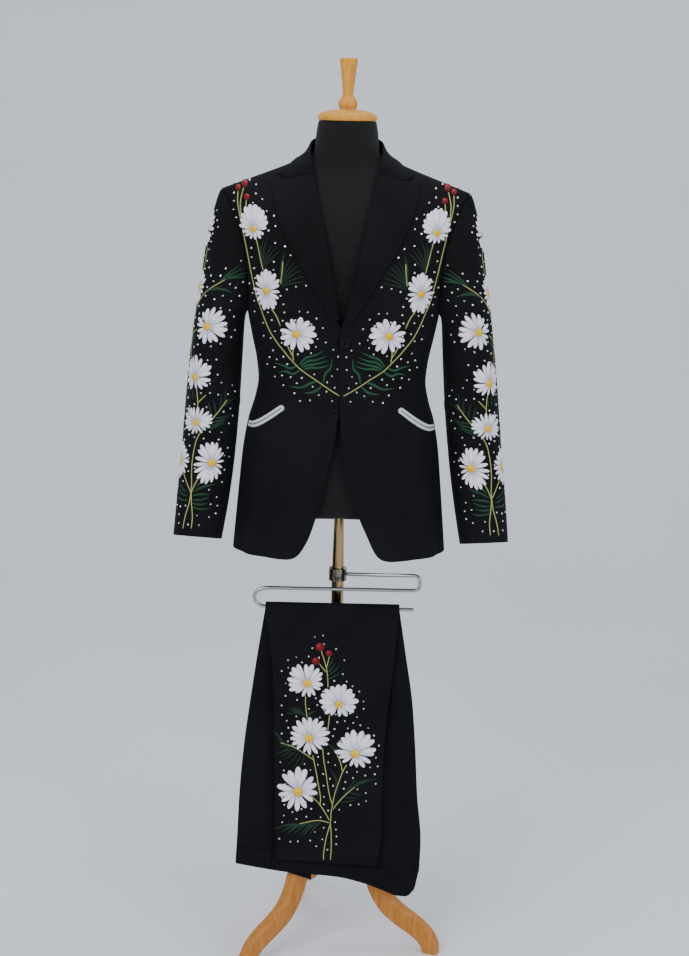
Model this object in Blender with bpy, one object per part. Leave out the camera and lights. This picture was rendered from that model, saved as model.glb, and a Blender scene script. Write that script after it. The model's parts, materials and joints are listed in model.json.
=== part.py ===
import math

import bpy
import numpy as np

# All sizes in metres from the stand's axis, X to the viewer's right, Y away from the viewer, Z up.
GAP = 0.0003
CLOTH = 0.0020
LAPEL_CLOTH = 0.0017
TROUSER_CLOTH = 0.0014
CORE_CLOTH = 0.0026

# Middle of the whole part seen from above, measured from the stand's axis; it goes to the origin.
MIDDLE = (0.0040, 0.0305, 0.0)


def table(columns, *rows):
    """Named columns of a short table."""
    data = np.array(rows, dtype=float)
    return {name: data[:, k] for k, name in enumerate(columns.split())}


# Jacket body: one row for each height, measured at the centre line.
RING = table(
    "height half_width front back",
    (0.812, 0.2010, 0.130, 0.124),
    (0.860, 0.1970, 0.130, 0.124),
    (0.940, 0.1900, 0.130, 0.121),
    (1.010, 0.1830, 0.128, 0.116),
    (1.060, 0.1740, 0.125, 0.110),
    (1.100, 0.1620, 0.122, 0.104),
    (1.135, 0.1560, 0.120, 0.100),
    (1.170, 0.1590, 0.122, 0.101),
    (1.220, 0.1690, 0.128, 0.107),
    (1.268, 0.1780, 0.132, 0.114),
    (1.340, 0.1860, 0.133, 0.121),
    (1.400, 0.1930, 0.133, 0.124),
    (1.460, 0.2060, 0.133, 0.124),
    (1.5584, 0.2280, 0.133, 0.124),
)
DOME_FROM = 1.340
RIDGE = 1.5584
DOME_POWER = 1.2
ROUNDNESS = 0.80
SLOPE_FROM = 1.268
SHOULDER_SLOPE = 0.3846
SLOPE_SOFT = 0.030
NECK_RISE = 0.038
NECK_RISE_WIDTH = 0.055
NECK_HALF_WIDTH = 0.079
NECK_BACK = 0.070
BACK_HEM_RISE = 0.017
BACK_HEM_FADE = 0.960

# Rows of every body panel: plain heights, then steps over the shoulder in degrees of the dome.
LOW_ROWS = (0.815, 0.8166, 0.8205, 0.829, 0.845, 0.870, 0.905, 0.950, 0.995,
            1.035, 1.070, 1.100, 1.135, 1.170, 1.210, 1.240, 1.268)
HIGH_ROWS = (1.300, 1.340)
DOME_STEPS = (16, 31, 45, 58, 70, 80, 90)
ARMHOLE = table(
    "step front back",
    (-30, 75.0, 106.0),
    (-16, 70.5, 110.0),
    (0, 68.5, 112.0),
    (16, 68.5, 112.5),
    (31, 69.3, 112.0),
    (45, 71.3, 110.2),
    (58, 74.5, 107.0),
    (70, 78.8, 102.4),
    (80, 84.0, 96.5),
    (90, 90.0, 90.0),
)
ARMHOLE_FROM = 1.268
SIDE_SEAM_FRONT = 75.0
SIDE_SEAM_BACK = 106.0
SEAM_PULL = math.radians(0.075)

# Centre edge of each front: cutaway, button edge, then the roll line up to the neck.
OVER_EDGE = table(
    "height x",
    (0.8150, 0.0960), (0.8166, 0.0860), (0.8205, 0.0775), (0.829, 0.0690), (0.842, 0.0615),
    (0.860, 0.0535), (0.885, 0.0420), (0.915, 0.0300), (0.950, 0.0180), (0.990, 0.0085),
    (1.043, 0.0010), (1.100, -0.0030), (1.180, -0.0060), (1.240, -0.0060), (1.258, -0.0050),
    (1.290, 0.0030), (1.314, 0.0100), (1.345, 0.0180), (1.377, 0.0265), (1.420, 0.0365),
    (1.457, 0.0455), (1.490, 0.0535), (1.513, 0.0585), (1.527, 0.0660), (1.5345, 0.0730),
    (1.5424, 0.0790),
)
UNDER_EDGE = table(
    "height x",
    (0.8150, 0.0960), (0.8166, 0.0870), (0.8205, 0.0785), (0.829, 0.0700), (0.842, 0.0620),
    (0.860, 0.0535), (0.894, 0.0425), (0.934, 0.0325), (0.980, 0.0220), (1.020, 0.0135),
    (1.060, 0.0075), (1.084, 0.0040), (1.100, 0.0005), (1.120, -0.0070), (1.150, -0.0150),
    (1.180, -0.0180), (1.230, -0.0180), (1.248, -0.0120), (1.258, -0.0030), (1.270, 0.0062),
    (1.290, 0.0100), (1.314, 0.0145), (1.345, 0.0215), (1.377, 0.0290), (1.420, 0.0390),
    (1.457, 0.0475), (1.490, 0.0545), (1.513, 0.0585), (1.527, 0.0660), (1.5345, 0.0730),
    (1.5424, 0.0790),
)
OVERLAP_DEPTH = 0.0027
OVERLAP_FROM = 0.028
OVERLAP_TO = 0.055
OVERLAP_TOP = (1.266, 1.280)
ROLL_PULL = 0.0004

# Lapel: the height on the roll line and the matching point of its outer edge.
LAPEL = table(
    "roll edge_x edge_z",
    (1.262, 0.0045, 1.2665),
    (1.270, 0.0150, 1.2755),
    (1.280, 0.0270, 1.2862),
    (1.300, 0.0430, 1.3040),
    (1.330, 0.0640, 1.3350),
    (1.365, 0.0845, 1.3690),
    (1.400, 0.1010, 1.4000),
    (1.435, 0.1155, 1.4300),
    (1.470, 0.1265, 1.4620),
    (1.495, 0.1310, 1.4840),
    (1.513, 0.1340, 1.4970),
)
UNDER_LAPEL_FROM = 2
UNDER_LAPEL_ROLL = 1.289
NOTCH_SHARE = 0.64
FOLD_RADIUS = 0.0032
FOLD_STEPS = (0, 45, 90, 135, 180)
LAPEL_LIFT = table(
    "share lift",
    (0.00, 0.0044), (0.16, 0.0044), (0.36, 0.0041), (0.64, 0.0036), (0.82, 0.0034), (1.00, 0.0033),
)

# Collar: fold centre, fall edge seen from above, and the seam with the neck, front end to centre back.
COLLAR = table(
    "fold_x fold_y fold_z edge_x edge_y seam_x seam_y seam_z",
    (0.0640, -0.0560, 1.5300, 0.1130, -0.0240, 0.0668, -0.0520, 1.5262),
    (0.0655, -0.0380, 1.5465, 0.1040, -0.0140, 0.0708, -0.0360, 1.5345),
    (0.0662, -0.0180, 1.5600, 0.0960, -0.0040, 0.0755, -0.0170, 1.5410),
    (0.0660, 0.0020, 1.5690, 0.0890, 0.0070, 0.0780, 0.0010, 1.5450),
    (0.0630, 0.0220, 1.5745, 0.0800, 0.0270, 0.0735, 0.0240, 1.5480),
    (0.0545, 0.0420, 1.5780, 0.0670, 0.0500, 0.0610, 0.0430, 1.5480),
    (0.0400, 0.0570, 1.5800, 0.0490, 0.0690, 0.0440, 0.0565, 1.5470),
    (0.0210, 0.0650, 1.5810, 0.0265, 0.0800, 0.0230, 0.0660, 1.5460),
    (0.0000, 0.0680, 1.5815, 0.0000, 0.0840, 0.0000, 0.0685, 1.5455),
)
COLLAR_TIP = (0.1220, 1.5110)
COLLAR_FOLD = 0.0022
COLLAR_CLOTH = 0.0012
COLLAR_LIFT = 0.0040
FALL_SHARES = (0.34, 0.67, 1.0)

# Sleeve below the armpit: inner and outer point of each ring, middle, half depth, lift of its front.
SLEEVE = table(
    "inner_x inner_z outer_x outer_z middle half_depth lift",
    (0.1832, 1.2320, 0.2755, 1.2400, -0.006, 0.0715, 0.000),
    (0.1865, 1.1710, 0.2835, 1.1750, -0.008, 0.0690, 0.000),
    (0.1905, 1.1050, 0.2900, 1.1080, -0.011, 0.0660, 0.001),
    (0.1955, 1.0400, 0.2960, 1.0420, -0.015, 0.0630, 0.003),
    (0.2030, 0.9700, 0.3030, 0.9720, -0.023, 0.0600, 0.007),
    (0.2120, 0.9050, 0.3090, 0.9080, -0.033, 0.0570, 0.011),
    (0.2245, 0.8320, 0.3150, 0.8380, -0.045, 0.0530, 0.014),
)
SLEEVE_ROUNDNESS = 0.85
SLEEVE_SET_IN = 0.00035
SLEEVE_SWING = 0.004
SLEEVE_SEAM_PULL = 0.0036
SLEEVE_FRONT_SEAM = 4
SLEEVE_BACK_SEAM = -5
# Sleeve head: curves from the armhole to the first ring, and the way they leave the armhole.
HEAD_SHARES = (0.0, 0.05, 0.14, 0.32, 0.60)
HEAD_LEAVE = 0.10
HEAD_ARRIVE = 0.40
HEAD_OUT = (0.42, -0.15)
HEAD_ASIDE = 0.30
HEAD_DOWN = (0.87, 0.09)

# Smile pockets, from the inner end to the side.
POCKET = table(
    "x height",
    (0.1060, 1.0975), (0.1150, 1.0905), (0.1260, 1.0815), (0.1370, 1.0730),
    (0.1480, 1.0650), (0.1570, 1.0595), (0.1640, 1.0563), (0.1690, 1.0555), (0.1716, 1.0562),
)
POCKET_PROFILE = table(
    "across lift",
    (-0.0052, 0.0008), (-0.0030, 0.0021), (-0.0006, 0.0012), (0.0006, 0.0012),
    (0.0030, 0.0021), (0.0052, 0.0008),
)
POCKET_BASE = 0.0004

# Buttons: radius, thickness, and their middles on the fronts.
BUTTON_RADIUS = 0.0098
BUTTON_THICK = 0.0028
BUTTON_SHANK = 0.0030
BUTTON_OFF = 0.0012
BUTTON_DISH = 0.0012
BUTTON_SIDES = 20
BUTTON_UPPER = (0.0045, 1.2213)
BUTTON_LOWER = (0.0135, 1.1031)

# Torso form: heights, and how far it stays inside the jacket.
FORM_ROWS = (0.894, 0.898, 0.930, 0.980, 1.030, 1.080, 1.135, 1.190, 1.245, 1.300, 1.345, 1.385, 1.415,
             1.438, 1.456, 1.472, 1.486, 1.499, 1.511, 1.523, 1.536, 1.550, 1.568, 1.588, 1.602, 1.6066)
FORM_SIDES = 40
FORM_CLEAR_LOW = 0.0130
FORM_CLEAR_HIGH = 0.0043
FORM_CLEAR_FROM = 1.330
FORM_CLEAR_TO = 1.440
FORM_BLEND = 0.006
NECK = table(
    "height radius",
    (1.480, 0.0700), (1.520, 0.0625), (1.545, 0.0595), (1.580, 0.0578), (1.602, 0.0545), (1.6066, 0.0530),
)

# Turned parts: radius and height of each profile point.
CAP = ((0.0, 1.6069), (0.0520, 1.6069), (0.0538, 1.6098), (0.0535, 1.6160), (0.0505, 1.6208),
       (0.0440, 1.6244), (0.0300, 1.6262), (0.0190, 1.6271), (0.0, 1.6275))
FINIAL = ((0.0, 1.6278), (0.0145, 1.6278), (0.0170, 1.6325), (0.0173, 1.6380), (0.0160, 1.6430),
          (0.0122, 1.6475), (0.0098, 1.6520), (0.0105, 1.6640), (0.0119, 1.6780), (0.0136, 1.6930),
          (0.0154, 1.7070), (0.0162, 1.7140), (0.0150, 1.7170), (0.0, 1.7175))
POLE_RADIUS = 0.01175
POLE = ((0.0, 0.2853), (POLE_RADIUS, 0.2853), (POLE_RADIUS, 0.8717), (0.0, 0.8717))
SOCKET = ((0.0, 0.8720), (0.0140, 0.8720), (0.0140, 0.8800), (0.0260, 0.8850), (0.0260, 0.8937),
          (0.0, 0.8937))
CLAMP_RADIUS = 0.0172
CLAMP = ((POLE_RADIUS + GAP, 0.7440), (CLAMP_RADIUS, 0.7440), (CLAMP_RADIUS, 0.7675),
         (POLE_RADIUS + GAP, 0.7675))
HUB_RADIUS = 0.0320
HUB = ((0.0, 0.1960), (0.0240, 0.1960), (HUB_RADIUS, 0.2040), (HUB_RADIUS, 0.2780),
       (0.0240, 0.2850), (0.0, 0.2850))
TURN_SIDES = 24

# Trouser bar: a bent rod in front of the pole.
ROD_RADIUS = 0.0035
ROD_PATH = ((0.0168, -0.0055, 0.7568), (0.0700, -0.0230, 0.7610), (0.1460, -0.0470, 0.7684),
            (0.1535, -0.0492, 0.7660), (0.1560, -0.0500, 0.7600), (0.1560, -0.0500, 0.7480),
            (0.1535, -0.0500, 0.7422), (0.1460, -0.0500, 0.7400), (-0.1340, -0.0500, 0.7395),
            (-0.1460, -0.0500, 0.7370), (-0.1550, -0.0500, 0.7300), (-0.1580, -0.0500, 0.7205),
            (-0.1550, -0.0500, 0.7110), (-0.1460, -0.0500, 0.7045), (-0.1340, -0.0500, 0.7020),
            (0.0000, -0.0500, 0.7020), (0.1460, -0.0500, 0.7020))
ROD_SIDES = 10

# Trousers: half the fold hangs on each side of the bar and leans on the legs of the stand.
BAR_Y = -0.050
BAR_Z = 0.702
LEAN = 0.0734
NEAR = table(
    "height left right",
    (0.200, -0.1070, 0.0860),
    (0.244, -0.1080, 0.0925),
    (0.338, -0.1110, 0.0935),
    (0.425, -0.1135, 0.0945),
    (0.500, -0.1155, 0.0995),
    (0.574, -0.1180, 0.1065),
    (0.650, -0.1270, 0.1130),
    (0.702, -0.1345, 0.1170),
)
REAR = table(
    "height left right",
    (0.128, -0.1860, 0.1600),
    (0.180, -0.1860, 0.1695),
    (0.240, -0.1835, 0.1710),
    (0.331, -0.1800, 0.1620),
    (0.432, -0.1720, 0.1550),
    (0.520, -0.1610, 0.1470),
    (0.600, -0.1500, 0.1340),
    (0.660, -0.1410, 0.1240),
    (0.702, -0.1345, 0.1170),
)
NEAR_HEM_LEFT = 0.205
NEAR_HEM_RIGHT = 0.195
WAIST_EDGE = table(
    "x height",
    (-0.187, 0.189), (-0.134, 0.180), (-0.084, 0.173), (0.009, 0.166), (0.063, 0.154),
    (0.102, 0.140), (0.129, 0.130), (0.146, 0.129), (0.157, 0.136), (0.165, 0.152), (0.171, 0.190),
)
NEAR_STEPS = (0.0, 0.02, 0.12, 0.28, 0.44, 0.60, 0.76, 0.90, 0.985)
TURN_STEPS = (0, 22.5, 45, 67.5, 90, 112.5, 135, 157.5, 180)
REAR_STEPS = (0.03, 0.12, 0.26, 0.40, 0.54, 0.68, 0.80, 0.90, 0.96, 1.0)
OUTSEAM = 0.48
OUTSEAM_PULL = 0.0008
CORE_EDGE = 0.006
WAISTBAND_STEPS = (0.930, 0.955, 0.980, 1.0)
WAISTBAND_CLOTH = 0.0011
BELT_LOOPS = (0.17, 0.49, 0.80)
BELT_LOOP_HALF = 0.014
BELT_LOOP_STEPS = (0.924, 0.960, 0.996)
BELT_LOOP_CLOTH = 0.0010
WELT_STEPS = (0.812, 0.834)
WELT_SPAN = (0.56, 0.86)
POCKET_BAG = table(
    "x drop",
    (-0.083, 0.0020), (-0.068, 0.0050), (-0.052, 0.0090), (-0.039, 0.0125),
)

# Legs of the stand: centre line, half width in their own upright plane and half thickness.
LEG = table(
    "out height half thick",
    (0.0531, 0.2700, 0.0210, 0.0130), (0.0531, 0.2460, 0.0210, 0.0134), (0.0620, 0.2200, 0.0210, 0.0136),
    (0.0760, 0.1880, 0.0205, 0.0137), (0.0890, 0.1500, 0.0200, 0.0136), (0.1020, 0.1150, 0.0200, 0.0134),
    (0.1220, 0.0860, 0.0200, 0.0131), (0.1480, 0.0670, 0.0200, 0.0128), (0.1730, 0.0530, 0.0195, 0.0126),
    (0.1950, 0.0370, 0.0185, 0.0122), (0.2080, 0.0190, 0.0175, 0.0118), (0.2110, 0.0060, 0.0165, 0.0115),
    (0.2110, 0.0000, 0.0150, 0.0112),
)
LEG_ROUND = 0.0085
LEG_TURNS = (221.0, 341.0, 111.0)


def clear_scene():
    for item in list(bpy.data.objects):
        bpy.data.objects.remove(item, do_unlink=True)


def smooth(xs, ys, x):
    """Monotone cubic through the table points, held level past its ends."""
    x = np.clip(np.asarray(x, dtype=float), xs[0], xs[-1])
    slope = np.diff(ys) / np.diff(xs)
    bend = np.zeros(len(xs))
    product = slope[:-1] * slope[1:]
    same = product > 0
    bend[1:-1][same] = 2.0 * product[same] / (slope[:-1][same] + slope[1:][same])
    bend[0] = slope[0]
    bend[-1] = slope[-1]
    k = np.clip(np.searchsorted(xs, x) - 1, 0, len(xs) - 2)
    step = xs[k + 1] - xs[k]
    t = (x - xs[k]) / step
    return ((1 + 2 * t) * (1 - t) ** 2 * ys[k] + t * (1 - t) ** 2 * step * bend[k]
            + t * t * (3 - 2 * t) * ys[k + 1] + t * t * (t - 1) * step * bend[k + 1])


def ramp(low, high, x):
    t = np.clip((np.asarray(x, dtype=float) - low) / (high - low), 0.0, 1.0)
    return t * t * (3 - 2 * t)


def unit(v):
    return v / np.maximum(np.linalg.norm(v, axis=-1, keepdims=True), 1e-12)


def signed_power(x, power):
    return np.sign(x) * np.abs(x) ** power


def step_row(step):
    """Row coordinate of a step over the shoulder; steps below zero are heights under the dome."""
    step = np.asarray(step, dtype=float)
    over = DOME_FROM + (RIDGE - DOME_FROM) * step / 90.0
    under = DOME_FROM + (DOME_FROM - ARMHOLE_FROM) * step / 30.0
    return np.where(step < 0, under, over)


def body_ring(v):
    """Half width, depths, shoulder fall, turn of the dome and centre height of row v."""
    turn = np.clip((v - DOME_FROM) / (RIDGE - DOME_FROM), 0.0, 1.0) * math.pi / 2
    rise = (RIDGE - DOME_FROM) * np.sin(turn) ** DOME_POWER
    height = np.where(v > DOME_FROM, DOME_FROM + rise, v)
    shrink = np.maximum(np.cos(turn), 0.0) ** DOME_POWER
    width = smooth(RING["height"], RING["half_width"], height)
    front = smooth(RING["height"], RING["front"], height) * shrink
    back = smooth(RING["height"], RING["back"], height) * shrink
    part = np.clip((height - SLOPE_FROM) / (RIDGE - SLOPE_FROM), 0.0, 1.0)
    return width, front, back, SHOULDER_SLOPE * part ** 1.5, turn, height


def spread(x):
    return np.sqrt(x * x + SLOPE_SOFT ** 2) - SLOPE_SOFT


def neck_lift(x, turn, facing):
    power = np.where(facing > 0, 8.0, 2.0)
    return NECK_RISE * np.exp(-(x / NECK_RISE_WIDTH) ** 2) * np.sin(turn) ** power


def body_point(theta, v):
    """Point of the jacket's outer face at angle theta from centre front and row v."""
    theta, v = np.broadcast_arrays(np.asarray(theta, dtype=float), np.asarray(v, dtype=float))
    width, front, back, fall, turn, height = body_ring(v)
    facing = np.cos(theta)
    x = width * signed_power(np.sin(theta), ROUNDNESS)
    y = -np.where(facing > 0, front, back) * signed_power(facing, ROUNDNESS)
    z = height - fall * spread(x) + neck_lift(x, turn, facing)
    z = z + BACK_HEM_RISE * np.clip(-facing, 0.0, 1.0) * (1.0 - ramp(LOW_ROWS[0], BACK_HEM_FADE, height))
    return np.stack([x, y, z], axis=-1)


def body_normal(theta, v):
    across = body_point(theta + 0.01, v) - body_point(theta - 0.01, v)
    above = body_point(theta, np.minimum(v + 0.002, RIDGE))
    below = body_point(theta, v - 0.002)
    return unit(np.cross(across, above - below))


def theta_of_x(x, v):
    width = body_ring(v)[0]
    return np.sign(x) * np.arcsin(np.clip(np.abs(x) / width, 0.0, 1.0) ** (1.0 / ROUNDNESS))


def row_of_height(x, z):
    """Row whose front passes through (x, z)."""
    x = np.asarray(x, dtype=float)
    z = np.asarray(z, dtype=float)
    low = np.full(np.broadcast(x, z).shape, 0.80)
    high = np.full(low.shape, RIDGE)
    for _ in range(45):
        middle = 0.5 * (low + high)
        fall, turn, height = body_ring(middle)[3:]
        here = height - fall * spread(x) + neck_lift(x, turn, 1.0)
        low = np.where(here < z, middle, low)
        high = np.where(here < z, high, middle)
    return 0.5 * (low + high)


def row_of_plan(x, y):
    """Row over the shoulder that passes through (x, y) seen from above."""
    low = np.full(np.shape(x), DOME_FROM)
    high = np.full(np.shape(x), RIDGE)
    for _ in range(45):
        middle = 0.5 * (low + high)
        width, front, back = body_ring(middle)[:3]
        theta = theta_of_x(x, middle)
        here = np.where(y < 0, front, back) * np.abs(np.cos(theta)) ** ROUNDNESS
        low = np.where(here > np.abs(y), middle, low)
        high = np.where(here > np.abs(y), high, middle)
    return 0.5 * (low + high)


def front_at(x, z):
    """Angle, row, point and normal on the front at (x, z)."""
    v = row_of_height(x, z)
    theta = theta_of_x(x, v)
    return theta, v, body_point(theta, v), body_normal(theta, v)


def edge_theta(edge, v):
    """Angle where row v meets a front's centre edge."""
    x = smooth(edge["height"], edge["x"], body_ring(v)[5])
    for _ in range(60):
        fall, turn, height = body_ring(v)[3:]
        z = height - fall * spread(x) + neck_lift(x, turn, 1.0)
        x = 0.5 * x + 0.5 * (smooth(edge["height"], edge["x"], z) + ROLL_PULL)
    return theta_of_x(x, v)


def body_rows():
    over = step_row(np.array(DOME_STEPS, dtype=float))
    return np.concatenate([np.array(LOW_ROWS + HIGH_ROWS), over])


def armhole_theta(v, side):
    rows = step_row(ARMHOLE["step"])
    return np.radians(smooth(rows, ARMHOLE[side], v))


def material(name, colour, roughness, metallic=0.0):
    made = bpy.data.materials.new(name)
    made.use_nodes = True
    shader = made.node_tree.nodes["Principled BSDF"]
    shader.inputs["Base Color"].default_value = (*colour, 1.0)
    shader.inputs["Roughness"].default_value = roughness
    shader.inputs["Metallic"].default_value = metallic
    made.diffuse_color = (*colour, 1.0)
    return made


def add_mesh(name, points, faces, finish):
    """Closed mesh object with outward faces."""
    points = np.asarray(points, dtype=float)
    volume = 0.0
    for face in faces:
        a = points[face[0]]
        for k in range(1, len(face) - 1):
            volume += np.dot(a, np.cross(points[face[k]], points[face[k + 1]]))
    if volume < 0:
        faces = [tuple(reversed(face)) for face in faces]
    mesh = bpy.data.meshes.new(name)
    mesh.from_pydata((points - np.array(MIDDLE)).tolist(), [], faces)
    mesh.polygons.foreach_set("use_smooth", [True] * len(mesh.polygons))
    mesh.set_sharp_from_angle(angle=math.radians(35))
    mesh.materials.append(finish(name))
    made = bpy.data.objects.new(name, mesh)
    bpy.context.scene.collection.objects.link(made)
    return made


def wall(name, outer, inner, finish):
    """Sheet of cloth: outer and inner grids joined along their four edges."""
    rows, columns = outer.shape[:2]
    count = rows * columns
    number = np.arange(count).reshape(rows, columns)
    a, b = number[:-1, :-1].ravel(), number[:-1, 1:].ravel()
    c, d = number[1:, 1:].ravel(), number[1:, :-1].ravel()
    faces = [tuple(f) for f in np.stack([a, b, c, d], axis=1).tolist()]
    faces += [tuple(f) for f in (np.stack([d, c, b, a], axis=1) + count).tolist()]
    ring = np.concatenate([number[0, :], number[1:, -1], number[-1, -2::-1], number[-2:0:-1, 0]])
    after = np.roll(ring, -1)
    faces += [tuple(f) for f in np.stack([after, ring, ring + count, after + count], axis=1).tolist()]
    points = np.concatenate([outer.reshape(-1, 3), inner.reshape(-1, 3)])
    return add_mesh(name, points, faces, finish)


def grid_normals(grid):
    """Normals of a grid of points: across the columns times along the rows."""
    across = np.gradient(grid, axis=1)
    along = np.gradient(grid, axis=0)
    return unit(np.cross(across, along))


def mirror(grid, side):
    return grid * np.array([side, 1.0, 1.0])


def cloth_black(name):
    return material(name + "_cloth", (0.012, 0.012, 0.016), 0.85)


def form_black(name):
    return material(name + "_jersey", (0.016, 0.016, 0.017), 0.95)


def pale_wood(name):
    return material(name + "_wood", (0.55, 0.32, 0.12), 0.35)


def old_brass(name):
    return material(name + "_brass", (0.30, 0.22, 0.12), 0.35, 1.0)


def bright_steel(name):
    return material(name + "_steel", (0.55, 0.55, 0.56), 0.25, 1.0)


def white_cord(name):
    return material(name + "_cord", (0.75, 0.76, 0.78), 0.7)


def black_button(name):
    return material(name + "_plastic", (0.02, 0.02, 0.022), 0.2)


def dark_lining(name):
    return material(name + "_lining", (0.02, 0.017, 0.018), 0.5)


def front_panel(side, edge, name):
    rows = body_rows()
    inside = edge_theta(edge, rows)
    outside = np.where(rows > ARMHOLE_FROM, armhole_theta(rows, "front"),
                       math.radians(SIDE_SEAM_FRONT) - SEAM_PULL)
    share = np.linspace(0.0, 1.0, 11)
    theta = inside[:, None] + (outside - inside)[:, None] * share
    v = np.broadcast_to(rows[:, None], theta.shape)
    outer = body_point(theta, v)
    normal = body_normal(theta, v)
    if edge is UNDER_EDGE:
        band = 1.0 - ramp(OVERLAP_FROM, OVERLAP_TO, outer[..., 0])
        band = band * ramp(1.060, 1.100, outer[..., 2]) * (1.0 - ramp(*OVERLAP_TOP, outer[..., 2]))
        outer = outer - normal * (OVERLAP_DEPTH * band)[..., None]
    inner = outer - normal * CLOTH
    outer[..., 1] = np.minimum(outer[..., 1], -GAP / 2)
    inner[..., 1] = np.minimum(inner[..., 1], -GAP / 2)
    return wall(name, mirror(outer, side), mirror(inner, side), cloth_black)


def side_panel(side, name):
    rows = np.array(LOW_ROWS)
    angles = np.radians((SIDE_SEAM_FRONT, 82.5, 90.0, 98.0, SIDE_SEAM_BACK))
    angles[0] += SEAM_PULL
    angles[-1] -= SEAM_PULL
    theta, v = np.meshgrid(angles, rows)
    outer = body_point(theta, v)
    inner = outer - body_normal(theta, v) * CLOTH
    return wall(name, mirror(outer, side), mirror(inner, side), cloth_black)


def back_panel(side, name):
    rows = body_rows()
    outside = np.where(rows > ARMHOLE_FROM, armhole_theta(rows, "back"),
                       math.radians(SIDE_SEAM_BACK) + SEAM_PULL)
    depth = body_ring(rows)[2]
    part = np.clip(depth / NECK_BACK, 0.0, 1.0)
    inside = math.pi - theta_of_x(NECK_HALF_WIDTH * np.sqrt(1.0 - part ** 2), rows)
    share = np.linspace(0.0, 1.0, 9)
    theta = inside[:, None] + (outside - inside)[:, None] * share
    v = np.broadcast_to(rows[:, None], theta.shape)
    outer = body_point(theta, v)
    inner = outer - body_normal(theta, v) * CLOTH
    for face in (outer, inner):
        face[..., 0] = np.maximum(face[..., 0], GAP / 2)
        face[..., 1] = np.maximum(face[..., 1], GAP / 2)
    return wall(name, mirror(outer, side), mirror(inner, side), cloth_black)


def armhole_loop():
    """Armhole seam, from its lowest point up the front, over the shoulder end and down the back."""
    low = body_point(np.radians((90.0, 82.5, SIDE_SEAM_FRONT)), ARMHOLE_FROM)
    rows = body_rows()
    rows = rows[rows > ARMHOLE_FROM]
    front = body_point(armhole_theta(rows, "front"), rows)
    back = body_point(armhole_theta(rows, "back"), rows)[:-1][::-1]
    back_low = body_point(np.radians((SIDE_SEAM_BACK, 98.0, 90.0)), ARMHOLE_FROM)
    loop = np.concatenate([low, front, back, back_low])
    loop[:, 0] += SLEEVE_SET_IN
    top = len(low) + len(front) - 1
    walked = np.concatenate([[0.0], np.cumsum(np.linalg.norm(np.diff(loop, axis=0), axis=1))])
    phi = np.where(np.arange(len(loop)) <= top, walked / walked[top],
                   1.0 + (walked - walked[top]) / (walked[-1] - walked[top])) * math.pi
    return phi, loop


def sleeve_grid(phi):
    """Rings of the sleeve at the angles phi: the head as Bezier curves, then the table's rings."""
    loop_phi, loop = armhole_loop()
    turn = np.mod(phi, 2 * math.pi)
    first = np.stack([np.interp(turn, loop_phi, loop[:, k]) for k in range(3)], axis=-1)
    c = signed_power(np.cos(phi), SLEEVE_ROUNDNESS)
    s = signed_power(np.sin(phi), SLEEVE_ROUNDNESS)
    rings = {name: column[:, None] for name, column in SLEEVE.items()}
    share = (1.0 - c) / 2
    x = rings["inner_x"] + (rings["outer_x"] - rings["inner_x"]) * share
    z = rings["inner_z"] + (rings["outer_z"] - rings["inner_z"]) * share + rings["lift"] * s
    y = rings["middle"] - rings["half_depth"] * s
    tube = np.stack([x, y, z], axis=-1)
    leave = unit(np.stack([HEAD_OUT[0] + HEAD_OUT[1] * c, -HEAD_ASIDE * s,
                           -HEAD_DOWN[0] - HEAD_DOWN[1] * c], axis=-1))
    arrive = unit(tube[1] - tube[0])
    far = np.linalg.norm(tube[0] - first, axis=-1, keepdims=True)
    t = np.array(HEAD_SHARES)[:, None, None]
    head = ((1 - t) ** 3 * first + 3 * t * (1 - t) ** 2 * (first + leave * far * HEAD_LEAVE)
            + 3 * t * t * (1 - t) * (tube[0] - arrive * far * HEAD_ARRIVE) + t ** 3 * tube[0])
    return np.concatenate([head, tube])


def sleeve_piece(side, first, last, name):
    """Piece of the sleeve between two seams of the armhole loop."""
    loop_phi = armhole_loop()[0]
    start = loop_phi[first] + SLEEVE_SEAM_PULL
    stop = loop_phi[last] - SLEEVE_SEAM_PULL
    knots = np.concatenate([loop_phi[:-1], loop_phi + 2 * math.pi])
    if stop < start:
        stop += 2 * math.pi
    phi = np.concatenate([[start], knots[(knots > start + 0.01) & (knots < stop - 0.01)], [stop]])
    outer = sleeve_grid(phi)
    around = sleeve_grid(phi + 0.01) - sleeve_grid(phi - 0.01)
    along = np.gradient(outer, axis=0)
    normal = unit(np.cross(along, around))
    inner = outer - normal * CLOTH
    heart = armhole_loop()[1].mean(axis=0)
    inward = (heart - outer[0]) * np.array([0.0, 1.0, 1.0])
    inner[0] = outer[0] + unit(inward) * CLOTH
    swing = side * SLEEVE_SWING * (1.0 - ramp(0.84, 1.24, outer[:, :, 2]))
    outer = mirror(outer, side)
    inner = mirror(inner, side)
    outer[..., 0] += side * swing
    inner[..., 0] += side * swing
    return wall(name, outer, inner, cloth_black)


def fold_points(base, normal, outward, radius, thickness):
    """Arc of the fold at each row: from inside the front, round its edge, to lie on top."""
    middle = base + normal * (radius - thickness)
    angle = np.radians(np.array(FOLD_STEPS, dtype=float))[None, :, None]
    return (middle[:, None] - outward[:, None] * radius * np.sin(angle)
            - normal[:, None] * radius * np.cos(angle))


def fold_normals(normal, outward):
    angle = np.radians(np.array(FOLD_STEPS, dtype=float))[None, :, None]
    return unit(-outward[:, None] * np.sin(angle) - normal[:, None] * np.cos(angle))


def laid_points(x, z, lift):
    """Points on the front at (x, z), lifted off it."""
    _, _, point, normal = front_at(x, z)
    return point + normal * lift[..., None]


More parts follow.
